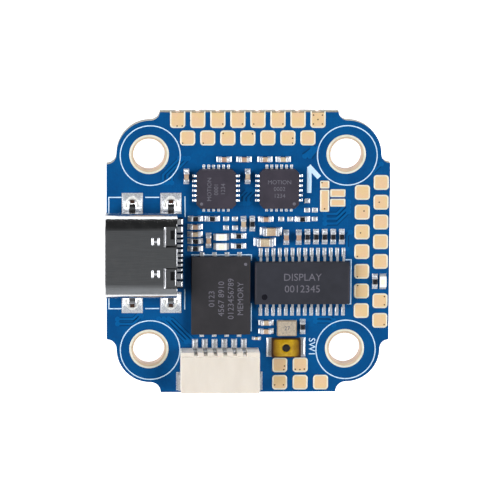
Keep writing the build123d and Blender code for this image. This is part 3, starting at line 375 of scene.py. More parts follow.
def laser_mark():
    """Laser-etched marking on epoxy: a lighter, rougher grey."""
    s = Shader("laser_mark", roughness=0.75, specular=0.25)
    grain = s.noise(14.0, 4, 0.7)
    s.feed("Base Color", s.blend(s.spread(grain, 0.35, 0.75), srgb(116, 114, 124), srgb(78, 76, 86)))
    s.bump(grain, 0.5, 0.01)
    return s.material


def phosphor():
    """Clear window of a white status light over its yellowish phosphor."""
    s = Shader("phosphor", roughness=0.15, specular=0.6, coat=0.6, coat_roughness=0.05)
    grain = s.noise(7.0, 4)
    s.feed("Base Color", s.blend(s.spread(grain, 0.35, 0.7), srgb(252, 250, 236), srgb(244, 240, 214)))
    s.bump(grain, 0.2, 0.01)
    return s.material


def painted_hole_shade():
    """Inside of a plugged via, dark resin and unlit copper, and of the slot beyond each USB leg; the unlit
    copper and the slot are painted shade.
    """
    s = Shader("painted_hole_shade", roughness=0.6, specular=0.2)
    s.feed("Base Color", s.blend(s.spread(s.noise(6.0, 3), 0.3, 0.7), srgb(44, 30, 24), srgb(72, 50, 38)))
    return s.material


MASK = solder_mask()
TRACE = mask_over("mask_on_copper", srgb(0, 80, 140), srgb(0, 90, 152))
# Near-black painted shadow, laid behind the USB shell's contact row.
CONTACT_SHADE = mask_over("painted_shade_behind_usb", srgb(6, 12, 30), srgb(12, 22, 44))
GAP = mask_over("mask_on_laminate", srgb(0, 50, 92), srgb(0, 60, 106))
GOLD = gold()
RIM_HIGHLIGHT = pad_rim_highlight()
RING = ring_gold()
SOLDER = solder("solder", (240, 244, 250), 0.24, 0.55)
COLLAR_SOLDER = solder("collar_solder", (246, 246, 242), 0.3, 0.1)
TIN = tin_plate("tin_plate")
CAP_TIN = tin_plate("end_cap_tin", (240, 242, 248), 0.26)
STEEL = shell_steel()
EPOXY = moulded("chip_epoxy", srgb(32, 33, 41), srgb(43, 44, 53), 0.5)
SENSOR_EPOXY = moulded("sensor_epoxy", srgb(42, 39, 50), srgb(56, 51, 62), 0.5)
POLISHED = moulded("polished_epoxy", srgb(14, 14, 20), srgb(22, 22, 30), 0.2, depth=0.004)
MEMORY_EPOXY = moulded("memory_epoxy", srgb(33, 32, 36), srgb(44, 42, 46), 0.52)
BLACK = moulded("connector_black", srgb(22, 22, 24), srgb(34, 34, 36), 0.55)
BUTTON_BASE = moulded("button_base", srgb(40, 24, 12), srgb(66, 40, 16), 0.35)
BUTTON_CAP = moulded("button_cap", srgb(18, 16, 16), srgb(34, 30, 30), 0.42)
FERRITE = moulded("ferrite", srgb(84, 84, 86), srgb(112, 112, 114), 0.6, grain=6.0, depth=0.03)
LED_WHITE = moulded("led_white", srgb(242, 242, 240), srgb(252, 252, 252), 0.3, grain=5.0)
IVORY = ivory_nylon()
TRAY = ceramic("ceramic_tray", srgb(150, 134, 112), srgb(176, 160, 138))
ALUMINA = ceramic("alumina", srgb(214, 212, 206), srgb(236, 234, 230))
CAPACITOR = capacitor_ceramic()
GLAZE = moulded("resistor_glaze", srgb(20, 20, 24), srgb(38, 38, 44), 0.25, specular=0.5)
CRYSTAL_LID = tin_plate("crystal_lid", (232, 216, 194), 0.36)
SENSOR_LID = tin_plate("sensor_lid", (196, 196, 198), 0.3)
DOME = tin_plate("dome_steel", (200, 200, 200), 0.2)
AMBER = amber_film()
INK = white_ink()
LASER = laser_mark()
PHOSPHOR = phosphor()
HOLE_SHADE = painted_hole_shade()

FINISH = {
    "circuit_board": MASK,
    "mounting_hole_plating": RING,
    "edge_pads": GOLD,
    "face_pads": GOLD,
    "jumper_pads": GOLD,
    "spare_lands": SOLDER,
    "component_lands": SOLDER,
    "underside_lands": SOLDER,
    "usb_leg_lands": SOLDER,
    "usb_shell": STEEL,
    "usb_latch_plate": STEEL,
    "usb_moulding": BLACK,
    "port6_housing": IVORY,
    "port8_housing": IVORY,
    "gyro_1_body": SENSOR_EPOXY,
    "gyro_2_body": SENSOR_EPOXY,
    "flash_body": MEMORY_EPOXY,
    "osd_body": EPOXY,
    "mcu_body": EPOXY,
    "step_down_regulator_body": EPOXY,
    "low_drop_regulator_body": EPOXY,
    "osd_crystal_base": TRAY,
    "mcu_crystal_base": TRAY,
    "barometer_base": TRAY,
    "osd_crystal_lid": CRYSTAL_LID,
    "mcu_crystal_lid": SENSOR_LID,
    "barometer_lid": SENSOR_LID,
    "boot_button_base": BUTTON_BASE,
    "boot_button_dome": DOME,
    "boot_button_film": AMBER,
    "boot_button_plunger": BUTTON_CAP,
    "small_capacitor_bodies": CAPACITOR,
    "large_capacitor_bodies": CAPACITOR,
    "underside_capacitor_bodies": CAPACITOR,
    "resistor_bodies": ALUMINA,
    "underside_resistor_bodies": ALUMINA,
    "resistor_coats": GLAZE,
    "underside_resistor_coats": GLAZE,
    "small_capacitor_ends": CAP_TIN,
    "large_capacitor_ends": CAP_TIN,
    "resistor_ends": CAP_TIN,
    "underside_chip_ends": CAP_TIN,
    "led_bodies": LED_WHITE,
    "led_windows": PHOSPHOR,
    "inductor_core": FERRITE,
}
for node_name, node in nodes.items():
    node.data.materials.clear()
    node.data.materials.append(FINISH.get(node_name, TIN))


# ---- Mesh helpers ----------------------------------------------------------------------

class Shape:
    """Points and faces gathered in millimetres, then made into one piece."""

    def __init__(self):
        self.points = []
        self.faces = []
        self.marks = []

    def add(self, points, faces, mark=0):
        start = len(self.points)
        self.points += points
        self.faces += [[start + i for i in face] for face in faces]
        self.marks += [mark] * len(faces)

    def grid(self, rows, mark=0, closed=False):
        """Joins rows of points into a sheet; closed joins each row's ends as well."""
        width = len(rows[0])
        faces = []
        for r in range(len(rows) - 1):
            for c in range(width if closed else width - 1):
                d = (c + 1) % width
                faces.append([r * width + c, r * width + d, (r + 1) * width + d, (r + 1) * width + c])
        self.add([point for row in rows for point in row], faces, mark)

    def cap(self, row, mark=0, flip=False):
        face = list(range(len(row)))
        self.add(list(row), [face[::-1] if flip else face], mark)

    def piece(self, name, slot, materials, smooth=40.0, body="board"):
        mesh = bpy.data.meshes.new(name)
        mesh.from_pydata([Vector(p) * MM for p in self.points], [], self.faces)
        for material in materials:
            mesh.materials.append(material)
        mesh.polygons.foreach_set("material_index", self.marks)
        mesh.validate()
        made = bpy.data.objects.new(name, mesh)
        bpy.context.scene.collection.objects.link(made)
        mesh.shade_smooth()
        mesh.set_sharp_from_angle(angle=math.radians(smooth))
        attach(made, body)
        return made


def islands(node_name):
    """Boxes (low, high), in millimetres, of the separate solids of a CAD node."""
    mesh = nodes[node_name].data
    key_of = {}
    same = []
    for vertex in mesh.vertices:
        key = tuple(round(c * 1e7) for c in vertex.co)
        same.append(key_of.setdefault(key, vertex.index))
    leader = list(range(len(mesh.vertices)))

    def find(i):
        while leader[i] != i:
            leader[i] = leader[leader[i]]
            i = leader[i]
        return i

    for polygon in mesh.polygons:
        first = find(same[polygon.vertices[0]])
        for other in polygon.vertices[1:]:
            leader[find(same[other])] = first
    boxes = {}
    for vertex in mesh.vertices:
        root = find(same[vertex.index])
        point = vertex.co / MM
        low, high = boxes.setdefault(root, (point.copy(), point.copy()))
        for axis in range(3):
            low[axis] = min(low[axis], point[axis])
            high[axis] = max(high[axis], point[axis])
    return list(boxes.values())


def rounded_outline(low, high, radius, steps=5):
    """Points and outward normals round a rectangle with rounded corners, counter-clockwise."""
    points = []
    for sx, sy, start in ((1, 1, 0), (-1, 1, 90), (-1, -1, 180), (1, -1, 270)):
        cx = high[0] - radius if sx > 0 else low[0] + radius
        cy = high[1] - radius if sy > 0 else low[1] + radius
        for i in range(steps + 1):
            turn = math.radians(start + 90 * i / steps)
            normal = (math.cos(turn), math.sin(turn))
            points.append((cx + radius * normal[0], cy + radius * normal[1], normal))
    return points


def rounded_block(shape, low, high, radius):
    """A block with all its edges rounded."""
    turns = [math.radians(30 * i) for i in range(4)]
    levels = [(low[2] + radius * (1 - math.sin(t)), radius * (1 - math.cos(t))) for t in turns]
    levels += [(high[2] - radius * (1 - math.sin(t)), radius * (1 - math.cos(t))) for t in turns]
    outline = rounded_outline(low, high, radius, 3)
    rows = []
    for z, inset in sorted(levels):
        rows.append([(x - inset * normal[0], y - inset * normal[1], z) for x, y, normal in outline])
    shape.grid(rows, closed=True)
    shape.cap(rows[0], flip=True)
    shape.cap(rows[-1])


def disc(shape, x, y, z, radius, side=1, mark=0, steps=12, rise=0.0):
    """A small round dot lying on a face."""
    ring = []
    for i in range(steps):
        turn = side * 2 * math.pi * i / steps
        ring.append((x + radius * math.cos(turn), y + radius * math.sin(turn), z))
    shape.add(ring + [(x, y, z + rise * side)], [[i, (i + 1) % steps, steps] for i in range(steps)], mark)


def offset_path(path, distance):
    """A path moved sideways, with mitred corners."""
    moved = []
    for i, point in enumerate(path):
        here = Vector(point)
        before = (here - Vector(path[i - 1])).normalized() if i else None
        after = (Vector(path[i + 1]) - here).normalized() if i < len(path) - 1 else None
        if before is None:
            before = after
        if after is None:
            after = before
        left = Vector((-before.y - after.y, before.x + after.x)).normalized()
        stretch = 1 / max(0.5, left.dot(Vector((-before.y, before.x))))
        moved.append(here + left * distance * stretch)
    return moved


def strip(shape, path, section, face=TOP_FACE, mark=0):
    """Sweeps a section of (sideways, height) points along a path that lies on a face."""
    base, side = face
    rows = []
    for sideways, height in section:
        rows.append([(p.x, p.y, base + side * height) for p in offset_path(path, -side * sideways)])
    shape.grid(rows, mark)


def ring_strip(shape, x, y, radius, section, face=TOP_FACE, mark=0, steps=72):
    """A closed circular strip of the given section."""
    base, side = face
    rows = []
    for sideways, height in section:
        row = []
        for i in range(steps):
            turn = -side * 2 * math.pi * i / steps
            reach = radius + sideways
            row.append((x + reach * math.cos(turn), y + reach * math.sin(turn), base + side * height))
        rows.append(row)
    shape.grid(rows, mark, closed=True)


def ink_section(width, rise=0.022, shoulder=0.02):
    """Cross-section of a printed line: a low flat-topped mound."""
    half = width / 2
    return [(-half, 0.0), (-half + shoulder, rise), (half - shoulder, rise), (half, 0.0)]


# ---- Solder joints ---------------------------------------------------------------------

GRID_STEPS = (0.0, 0.05, 0.14, 0.28, 0.42, 0.58, 0.72, 0.86, 0.95, 1.0)


def rectangle_distance(x, y, foot):
    dx = max(foot[0].x - x, 0.0, x - foot[1].x)
    dy = max(foot[0].y - y, 0.0, y - foot[1].y)
    return math.hypot(dx, dy)


def solder_patch(shape, low, high, face, foot=None, climb=0.0, swell=0.0):
    """Solder on one land: rounded at its rim, and drawn up in a fillet to the terminal on it."""
    base, side = face
    reach = 0.12
    if foot:
        corners = [(x, y) for x in (low.x, high.x) for y in (low.y, high.y)]
        reach = max(0.12, min(0.6, max(rectangle_distance(x, y, foot) for x, y in corners) * 0.8))
    rows = []
    for v in GRID_STEPS:
        row = []
        for u in GRID_STEPS:
            x = low.x + (high.x - low.x) * u
            y = low.y + (high.y - low.y) * v
            rim = min(x - low.x, high.x - x, y - low.y, high.y - y)
            near_rim = min(1.0, rim / 0.07)
            rounding = math.sqrt(max(0.0, 1 - (1 - near_rim) ** 2))
            z = LAND_T * rounding
            if foot:
                fall = max(0.0, 1 - rectangle_distance(x, y, foot) / reach)
                z += climb * fall ** 2.2 * rounding ** 0.8
            else:
                dome = (1 - (2 * u - 1) ** 2) * (1 - (2 * v - 1) ** 2)
                z += swell * dome
            row.append((x, y, base + side * z))
        rows.append(row if side > 0 else row[::-1])
    shape.grid(rows)


def overlap(a, b):
    return a[0].x < b[1].x and b[0].x < a[1].x and a[0].y < b[1].y and b[0].y < a[1].y


def solder_joints(name, land_node, face, terminals):
    """Solder on every land of a node; terminals gives each terminal node's climb height."""
    feet = []
    for node_name, climb in terminals.items():
        for box in islands(node_name):
            if (box[1].z > 0) == (face is TOP_FACE):
                feet.append((box, climb))
    shape = Shape()
    for land in islands(land_node):
        over = [foot for foot in feet if overlap(land, foot[0])]
        if over:
            foot, climb = over[0]
            solder_patch(shape, *land, face, foot, climb)
        else:
            solder_patch(shape, *land, face)
    piece = shape.piece(name, "tinned_copper", [SOLDER], smooth=60)
    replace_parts(piece, land_node)


solder_joints("solder_joints_top", "component_lands", TOP_FACE, {
    "small_capacitor_ends": 0.3,
    "resistor_ends": 0.22,
    "large_capacitor_ends": 0.45,
    "led_terminals": 0.18,
    "gyro_1_terminals": 0.14,
    "gyro_2_terminals": 0.14,
    "flash_terminals": 0.14,
    "osd_leads": 0.1,
    "usb_contacts": 0.08,
    "port6_contacts": 0.16,
    "port6_fixing_tabs": 0.14,
    "boot_button_terminals": 0.1,
    "osd_crystal_base": 0.08,
})
solder_joints("solder_joints_under", "underside_lands", UNDER_FACE, {
    "underside_chip_ends": 0.25,
    "mcu_leads": 0.1,
    "step_down_regulator_leads": 0.1,
    "low_drop_regulator_leads": 0.1,
    "port8_contacts": 0.16,
    "port8_fixing_tabs": 0.14,
    "inductor_terminals": 0.1,
    "mcu_crystal_base": 0.1,
    "barometer_base": 0.1,
})

spare = Shape()
for land_low, land_high in islands("spare_lands"):
    solder_patch(spare, land_low, land_high, TOP_FACE, swell=0.05)
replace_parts(spare.piece("spare_land_solder", "tinned_copper", [SOLDER], smooth=60), "spare_lands")


def leg_solder():
    """Solder drawn up round the four board legs of the USB shell, on both faces."""
    shape = Shape()
    leg_half = Vector((0.34, 0.2, 0.0))
    middle_y = sum((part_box("usb_shell")[i].y for i in (0, 1))) / 2 / MM
    for low, high in islands("usb_leg_lands"):
        centre = (low + high) / 2
        inward = 1 if centre.y < middle_y else -1
        for face, half, climb in ((TOP_FACE, 1.075, 0.34), (UNDER_FACE, 0.9, 0.24)):
            foot = [centre - leg_half, centre + leg_half]
            if face is TOP_FACE:
                foot[1 if inward > 0 else 0].y += inward * 0.6
            corner = Vector((half, half, 0))
            patch_low = centre - corner
            patch_high = centre + corner
            solder_patch(shape, patch_low, patch_high, face, foot, climb)
        # The collar of solder drawn up round the bend of the leg
        path = []
        for i in range(13):
            turn = math.pi * i / 12
            path.append((centre.x + 0.6 * math.cos(turn), centre.y + inward * (0.35 - 0.95 * math.sin(turn))))
        mound = [(-0.2, 0.04), (-0.14, 0.2), (-0.06, 0.27), (0.06, 0.27), (0.14, 0.2), (0.2, 0.04)]
        strip(shape, path if inward < 0 else path[::-1], mound, mark=1)
        # The unfilled slot beyond the leg: a dark mound inside the collar, painted shade standing for the
        # slot's depth
        well = [(centre.x, centre.y - inward * reach) for reach in (-0.3, 0.42)]
        strip(shape, well, [(-0.24, 0.2), (-0.22, 0.46), (0.22, 0.46), (0.24, 0.2)], mark=2)
    return shape.piece("usb_leg_solder", "tinned_copper", [SOLDER, COLLAR_SOLDER, HOLE_SHADE], smooth=60)


leg_solder()


# ---- USB shell: pressed springs, tab bends and cut edges --------------------------------

def bead(shape, start, end, half_width, low, high, ends=1.0):
    """A half-round ridge from start to end, in the board's plane, with rounded ends."""
    start = Vector(start)
    run = Vector(end) - start
    across = Vector((-run.y, run.x)).normalized()
    rows = []
    for i in range(13):
        t = i / 12
        near_end = min(t, 1 - t) * run.length / (half_width * ends)
        taper = math.sqrt(max(0.0, 1 - (1 - min(1.0, near_end)) ** 2))
        row = []
        for j in range(9):
            turn = math.pi * j / 8
            side = half_width * math.cos(turn) * max(taper, 0.05)
            point = start + run * t - across * side
            row.append((point.x, point.y, low + (high - low) * math.sin(turn) * taper))
        rows.append(row)
    shape.grid(rows)


def usb_pressing_highlights():
    """Springs in the roof's recesses, the bent roots of the rear tabs and the burred rear edge, in the
    brighter end-cap tin: a painted highlight on the shell's steel.
    """
    shape = Shape()
    shell_low, shell_high = (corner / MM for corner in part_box("usb_shell"))
    roof = shell_high.z
    rear = shell_high.x
    middle = (shell_low.y + shell_high.y) / 2
    spring_x = rear - 2.2
    for side in (-1, 1):
        y = middle + side * 1.65
        for dx in (-0.31, 0.31):
            bead(shape, (spring_x + dx, y - 0.48), (spring_x + dx, y + 0.48), 0.17, roof - 0.13, roof + 0.04)
        bead(shape, (spring_x - 0.3, y - 0.02), (spring_x + 0.3, y - 0.02), 0.17, roof - 0.13, roof + 0.045)
        bead(shape, (spring_x, y - 0.12), (spring_x, y + 0.12), 0.2, roof - 0.13, roof + 0.055)
        y = middle + side * 2.1
        rows = []
        for i in range(9):
            turn = math.radians(90 * i / 8)
            x = rear - 1.36 + 0.2 * math.sin(turn)
            z = roof + 0.006 - 0.2 * (1 - math.cos(turn))
            rows.append([(x, y - 1.02, z), (x, y + 1.02, z)])
        shape.grid(rows)
        bead(shape, (rear - 0.17, y - 0.88), (rear - 0.17, y + 0.88), 0.05, roof - 0.3, roof - 0.25, 1.0)
        lip = rear - 0.045
        bead(shape, (lip, middle + side * 3.2), (lip, middle + side * 3.42), 0.045, roof - 0.06, roof + 0.01)
    bead(shape, (rear - 0.045, middle - 1.03), (rear - 0.045, middle + 1.03), 0.05, roof - 0.05, roof + 0.012)
    # Brighter tin than the shell's steel: painted highlight on springs, tab roots and edge.
    shape.piece("usb_pressing_highlights", "usb_steel", [CAP_TIN], smooth=70)


usb_pressing_highlights()


# ---- Passive parts ---------------------------------------------------------------------

def soften(name, node_name, slot, material, radius):
    """Rounded-edge versions of a node's small blocks."""
    shape = Shape()
    for low, high in islands(node_name):
        rounded_block(shape, low, high, radius)
    piece = shape.piece(name, slot, [material], smooth=50)
    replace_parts(piece, node_name)


for chip_node, slot_name, finish in (
    ("small_capacitor_ends", "end_caps", CAP_TIN),
    ("large_capacitor_ends", "end_caps", CAP_TIN),
    ("resistor_ends", "end_caps", CAP_TIN),
    ("underside_chip_ends", "end_caps", CAP_TIN),
    ("small_capacitor_bodies", "capacitor_ceramic", CAPACITOR),
    ("large_capacitor_bodies", "capacitor_ceramic", CAPACITOR),
    ("underside_capacitor_bodies", "capacitor_ceramic", CAPACITOR),
    ("led_bodies", "led_white", LED_WHITE),
):
    soften(f"{chip_node}_softened", chip_node, slot_name, finish, 0.045)


# ---- Pads: rolled rims and via dots ----------------------------------------------------

PAD_CORNER = 0.33
RIM_SECTION = [(0.0, -0.012), (0.02, 0.006), (0.06, 0.011), (0.11, 0.007), (0.135, 0.0)]


def pad_rims(shape, low, high, corner, top, side=1, open_towards=None):
    """The rolled rim of one pad; open_towards (0, 1) or (0, -1) leaves that edge without one."""
    outline = rounded_outline(low, high, corner)
    if open_towards:
        cut = high.y - corner if open_towards[1] > 0 else low.y + corner
        keep = [p for p in outline if (p[1] - cut) * open_towards[1] <= 1e-6]
        first = max(range(len(outline)), key=lambda i: (outline[i - 1] not in keep, outline[i] in keep))
        outline = [p for p in outline[first:] + outline[:first] if p in keep]
        edge = high.y if open_towards[1] > 0 else low.y
        outline = [(outline[0][0], edge, outline[0][2])] + outline + [(outline[-1][0], edge, outline[-1][2])]
    rows = []
    for inset, height in RIM_SECTION:
        row = [(x - inset * n[0], y - inset * n[1], top + side * height) for x, y, n in outline]
        rows.append(row[::-1] if side < 0 else row)
    shape.grid(rows, closed=open_towards is None)


HOLE_LIP = [(0.0, -0.06), (0.03, -0.012), (0.09, 0.004), (0.2, 0.006)]

# The rims' raised shoulders are real; their pale colour is a painted highlight.
rims = Shape()
for pad_low, pad_high in islands("face_pads"):
    pad_rims(rims, pad_low, pad_high, PAD_CORNER, COPPER)
for pad_low, pad_high in islands("jumper_pads"):
    pad_rims(rims, pad_low, pad_high, 0.15, COPPER)
for pad_low, pad_high in islands("edge_pads"):
    pad_rims(rims, pad_low, pad_high, PAD_CORNER, COPPER, open_towards=(0, 1))
    pad_rims(rims, pad_low, pad_high, PAD_CORNER, -BOARD_T - COPPER, side=-1, open_towards=(0, 1))
for hole_low, hole_high in islands("mounting_hole_plating"):
    hole = (hole_low + hole_high) / 2
    for face in (TOP_FACE, UNDER_FACE):
        lip = (face[0] + face[1] * COPPER, face[1])
        # A pale ring at the outer edge of each hole's plating: painted highlight.
        ring_strip(rims, hole.x, hole.y, 1.9, ink_section(0.2, 0.012), lip)
        ring_strip(rims, hole.x, hole.y, 1.6, HOLE_LIP, lip, mark=1)
rims.piece("pad_rims", "gold", [RIM_HIGHLIGHT, RING], smooth=60)

# Vias in the pads: (x, y) in the board's plane
PAD_VIAS = [(-7.17, 12.9), (-6.65, 12.9), (-5.8, 13.45), (-2.55, 13.1), (-0.55, 13.1), (0.6, 13.1)]
PAD_VIAS += [(3.55, 13.1), (6.65, 14.0), (7.55, 14.0), (7.1, 13.55), (6.65, 13.1), (7.55, 13.1)]
PAD_VIAS += [(-6.6, 11.15), (-4.52, 11.15), (-2.5, 12.15), (0.47, 12.1), (4.55, 11.65), (4.55, 11.15)]
PAD_VIAS += [(11.87, 4.18), (11.54, 1.93), (11.24, -0.5), (11.25, -2.6), (11.3, -3.5), (13.42, 5.08)]
PAD_VIAS += [(14.05, -4.65), (14.05, -5.5), (14.05, -7.55), (3.87, -11.82), (3.8, -12.2), (4.98, -12.17)]
PAD_VIAS += [(5.45, -12.2), (5.9, -12.15), (2.88, -13.78), (3.78, -13.78), (7.85, 4.42), (7.56, 7.1)]
VIA_R = 0.075

vias = Shape()
# Each via is a flat dark disc on its pad: painted shade for the hole, over its dark resin.
for x, y in PAD_VIAS:
    disc(vias, x, y, COPPER + 0.006, VIA_R)
vias.piece("pad_vias", "gold", [HOLE_SHADE])


# ---- Copper under the mask -------------------------------------------------------------

TRACE_W = 0.16
GAP_W = 0.42
TRACE_SECTION = [(-TRACE_W / 2 - 0.04, 0.003), (-TRACE_W / 2, 0.009)]
TRACE_SECTION += [(TRACE_W / 2, 0.009), (TRACE_W / 2 + 0.04, 0.003)]
GAP_SECTION = [(-GAP_W / 2, 0.002), (GAP_W / 2, 0.002)]


def dogleg(start, end):
    """A route from start to end: one straight run and one at 45 degrees."""
    (x0, y0), (x1, y1) = start, end
    dx, dy = x1 - x0, y1 - y0
    short = min(abs(dx), abs(dy))
    if short < 0.05:
        return [start, end]
    if abs(dx) > abs(dy):
        bend = (x1 - math.copysign(short, dx), y0)
    else:
        bend = (x0, y1 - math.copysign(short, dy))
    return [start, bend, end]


def bundle(start, end, count, pitch, along):
    """Parallel doglegs, each start and end stepped by pitch along X or Y."""
    step = (pitch, 0) if along == "x" else (0, pitch)
    routes = []
    for i in range(count):
        first = (start[0] + i * step[0], start[1] + i * step[1])
        last = (end[0] + i * step[0], end[1] + i * step[1])
        routes.append(dogleg(first, last))
    return routes


TOP_ROUTES = bundle((-9.0, -6.9), (-6.2, -9.3), 3, 0.5, "x")
TOP_ROUTES += bundle((-13.2, -7.4), (-10.8, -6.6), 2, 0.5, "y")
TOP_ROUTES += bundle((-8.6, 7.1), (-6.9, 9.6), 3, 0.45, "x")
TOP_ROUTES += bundle((-0.8, 5.0), (0.0, 6.4), 3, 0.45, "x")
TOP_ROUTES += bundle((5.8, 9.8), (6.6, 10.6), 2, 0.5, "x")
TOP_ROUTES += bundle((7.9, 2.9), (10.3, 4.1), 3, 0.5, "y")
TOP_ROUTES += bundle((10.15, 0.3), (10.5, 2.0), 1, 0.5, "y")
TOP_ROUTES += bundle((7.0, -7.2), (8.9, -7.6), 2, 0.45, "y")
TOP_ROUTES += bundle((-4.9, 4.1), (-2.5, 4.15), 1, 0.4, "y")
TOP_ROUTES += bundle((12.7, 8.3), (13.6, 9.0), 1, 0.5, "y")
UNDER_ROUTES = bundle((-8.8, 2.6), (-5.6, 3.6), 4, 0.5, "y")
UNDER_ROUTES += bundle((6.6, 6.9), (9.4, 7.3), 2, 0.5, "y")
UNDER_ROUTES += bundle((-4.0, 11.9), (-2.0, 9.4), 5, 0.5, "x")
UNDER_ROUTES += bundle((7.0, -3.3), (10.8, -5.2), 4, 0.5, "y")
UNDER_ROUTES += bundle((-12.9, -1.6), (-8.9, 1.4), 5, 0.55, "y")
UNDER_ROUTES += bundle((11.2, 2.0), (13.2, 6.2), 3, 0.6, "x")
UNDER_ROUTES += bundle((-9.2, -7.2), (-6.4, -4.4), 3, 0.5, "x")

VIA_SECTION = [(-0.2, 0.003), (-0.14, 0.009), (-0.06, 0.011), (0.0, 0.009), (0.04, 0.003)]


def copper_layout(name, routes, face, shade_strips=()):
    """Traces with the dark clearance beside them, ending in tented vias; the extra strips given are flat
    near-black painted shadow.
    """
    shape = Shape()
    # Painted shadow strips, drawn first under the traces.
    for start, end, width in shade_strips:
        strip(shape, [start, end], [(-width / 2, 0.004), (width / 2, 0.004)], face, mark=2)
    for route in routes:
        strip(shape, route, GAP_SECTION, face, mark=1)
        strip(shape, route, TRACE_SECTION, face)
        for x, y in (route[0], route[-1]):
            ring_strip(shape, x, y, 0.22, VIA_SECTION, face, steps=20)
            disc(shape, x, y, face[0] + face[1] * 0.004, 0.06, face[1], mark=1)
    shape.piece(name, "board_laminate", [TRACE, GAP, CONTACT_SHADE], smooth=50)


usb_low, usb_high = (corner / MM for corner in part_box("usb_shell"))
# Painted shadow: a near-black strip just behind the USB shell, across its contacts.
SHADE_STRIPS = [((usb_high.x + 0.3, -3.75), (usb_high.x + 0.3, 3.55), 0.75)]
copper_layout("copper_under_mask_top", TOP_ROUTES, TOP_FACE, SHADE_STRIPS)
copper_layout("copper_under_mask_bottom", UNDER_ROUTES, UNDER_FACE)


# ---- Silkscreen ------------------------------------------------------------------------

LINE = ink_section(0.11)
BOLD = ink_section(0.46)


def silkscreen_top():
    ink = Shape()
    for hole_low, hole_high in islands("mounting_hole_plating"):
        hole = (hole_low + hole_high) / 2
        ring_strip(ink, hole.x + 0.12, hole.y - 0.12, 3.04, LINE)
    lands = islands("usb_leg_lands")
    left = min(low.x for low, high in lands)
    right = max(high.x for low, high in lands)
    front_right = min(high.x for low, high in lands)
    rear_left = max(low.x for low, high in lands)
    for side in (1, -1):
        y = (usb_low.y + usb_high.y) / 2 + side * 5.72
        near = y - side * 1.6
        strip(ink, [(left, y), (left - 1.3, y), (left - 1.3, near)], LINE)
        strip(ink, [(front_right + 0.25, y), (rear_left - 0.1, y)], LINE)
        strip(ink, [(right + 0.36, y + side * 0.1), (right + 0.36, y - side * 2.0)], LINE)
    osd_low, osd_high = (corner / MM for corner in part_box("osd_body"))
    x = osd_high.x + 0.16
    top = osd_high.y + 0.06
    bottom = osd_low.y - 0.1
    strip(ink, [(x - 0.6, top), (x, top), (x, bottom), (x - 0.4, bottom)], LINE)
    flash_low, flash_high = (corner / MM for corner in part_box("flash_body"))
    x = flash_high.x + 0.13
    y = flash_high.y + 0.1
    strip(ink, [(flash_low.x, y), (x, y), (x, y - 0.6)], LINE)
    strip(ink, [(x, flash_low.y + 3.1), (x, flash_low.y + 0.2)], LINE)
    base_low, base_high = (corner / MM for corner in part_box("boot_button_base"))
    strip(ink, [(base_low.x + 1.7, base_low.y - 0.03), (base_high.x - 0.35, base_low.y - 0.03)], LINE)
    # Direction arrow: a shaft and one slanted barb
    strip(ink, [(6.27, 6.05), (6.27, 8.72)], BOLD)
    strip(ink, [(6.2, 8.8), (7.28, 7.62)], ink_section(0.5, 0.025))
    ink.piece("silkscreen_top", "white_ink", [INK], smooth=50)


silkscreen_top()


def silkscreen_under():
    ink = Shape()
    for hole_low, hole_high in islands("mounting_hole_plating"):
        ring_strip(ink, *((hole_low + hole_high) / 2).xy, 3.05, LINE, UNDER_FACE)
    margin = 0.3
    reach = 0.66
    for node_name in ("inductor_core", "mcu_crystal_base"):
        low, high = (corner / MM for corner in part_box(node_name))
        for sx in (-1, 1):
            for sy in (-1, 1):
                x = high.x + margin if sx > 0 else low.x - margin
                y = high.y + margin if sy > 0 else low.y - margin
                strip(ink, [(x - sx * reach, y), (x, y), (x, y - sy * reach)], LINE, UNDER_FACE)
    low, high = (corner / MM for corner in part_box("mcu_leads"))
    strip(ink, [(low.x, high.y - 1.0), (low.x, high.y), (low.x + 1.0, high.y)], LINE, UNDER_FACE)
    ink.piece("silkscreen_under", "white_ink", [INK], smooth=50)


silkscreen_under()


def lettering(name, text, place, size, turn, material, up=1, thick=0.008):
    """Generic marking: raised text standing on a face at place (x, y, z)."""
    curve = bpy.data.curves.new(name, "FONT")
    curve.body = text
    curve.size = size * MM
    curve.align_x = "CENTER"
    curve.align_y = "CENTER"
    curve.extrude = thick * MM
    curve.resolution_u = 3
    curve.materials.append(material)
    draft = bpy.data.objects.new(name + "_draft", curve)
    bpy.context.scene.collection.objects.link(draft)
    bpy.context.view_layer.update()
    evaluated = draft.evaluated_get(bpy.context.evaluated_depsgraph_get())
    mesh = bpy.data.meshes.new_from_object(evaluated)
    bpy.data.objects.remove(draft)
    spot = Matrix.Translation(Vector(place) * MM)
    flip = Matrix.Rotation(math.pi, 4, "X") if up < 0 else Matrix.Identity(4)
    mesh.transform(spot @ flip @ Matrix.Rotation(math.radians(turn), 4, "Z"))
    mesh.name = name
    made = bpy.data.objects.new(name, mesh)
    bpy.context.scene.collection.objects.link(made)
    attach(made, "board")


def mark_chip(node_name, lines, size, turn=0.0, up=1, shift=(0.0, 0.0)):
    """Laser-marked lines of generic text in the middle of a chip's top."""
    lead = 1.15
    low, high = (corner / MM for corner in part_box(node_name))
    z = (high.z if up > 0 else low.z) + up * 0.001
    for i, text in enumerate(lines):
        drop = (i - (len(lines) - 1) / 2) * size * lead
        a = math.radians(turn)
        x = (low.x + high.x) / 2 + shift[0] + drop * math.sin(a)
        y = (low.y + high.y) / 2 + shift[1] - drop * math.cos(a) * up
        name = f"{node_name}_mark_{i + 1}"
        lettering(name, text, (x, y, z), size, turn, LASER, up, thick=0.004)


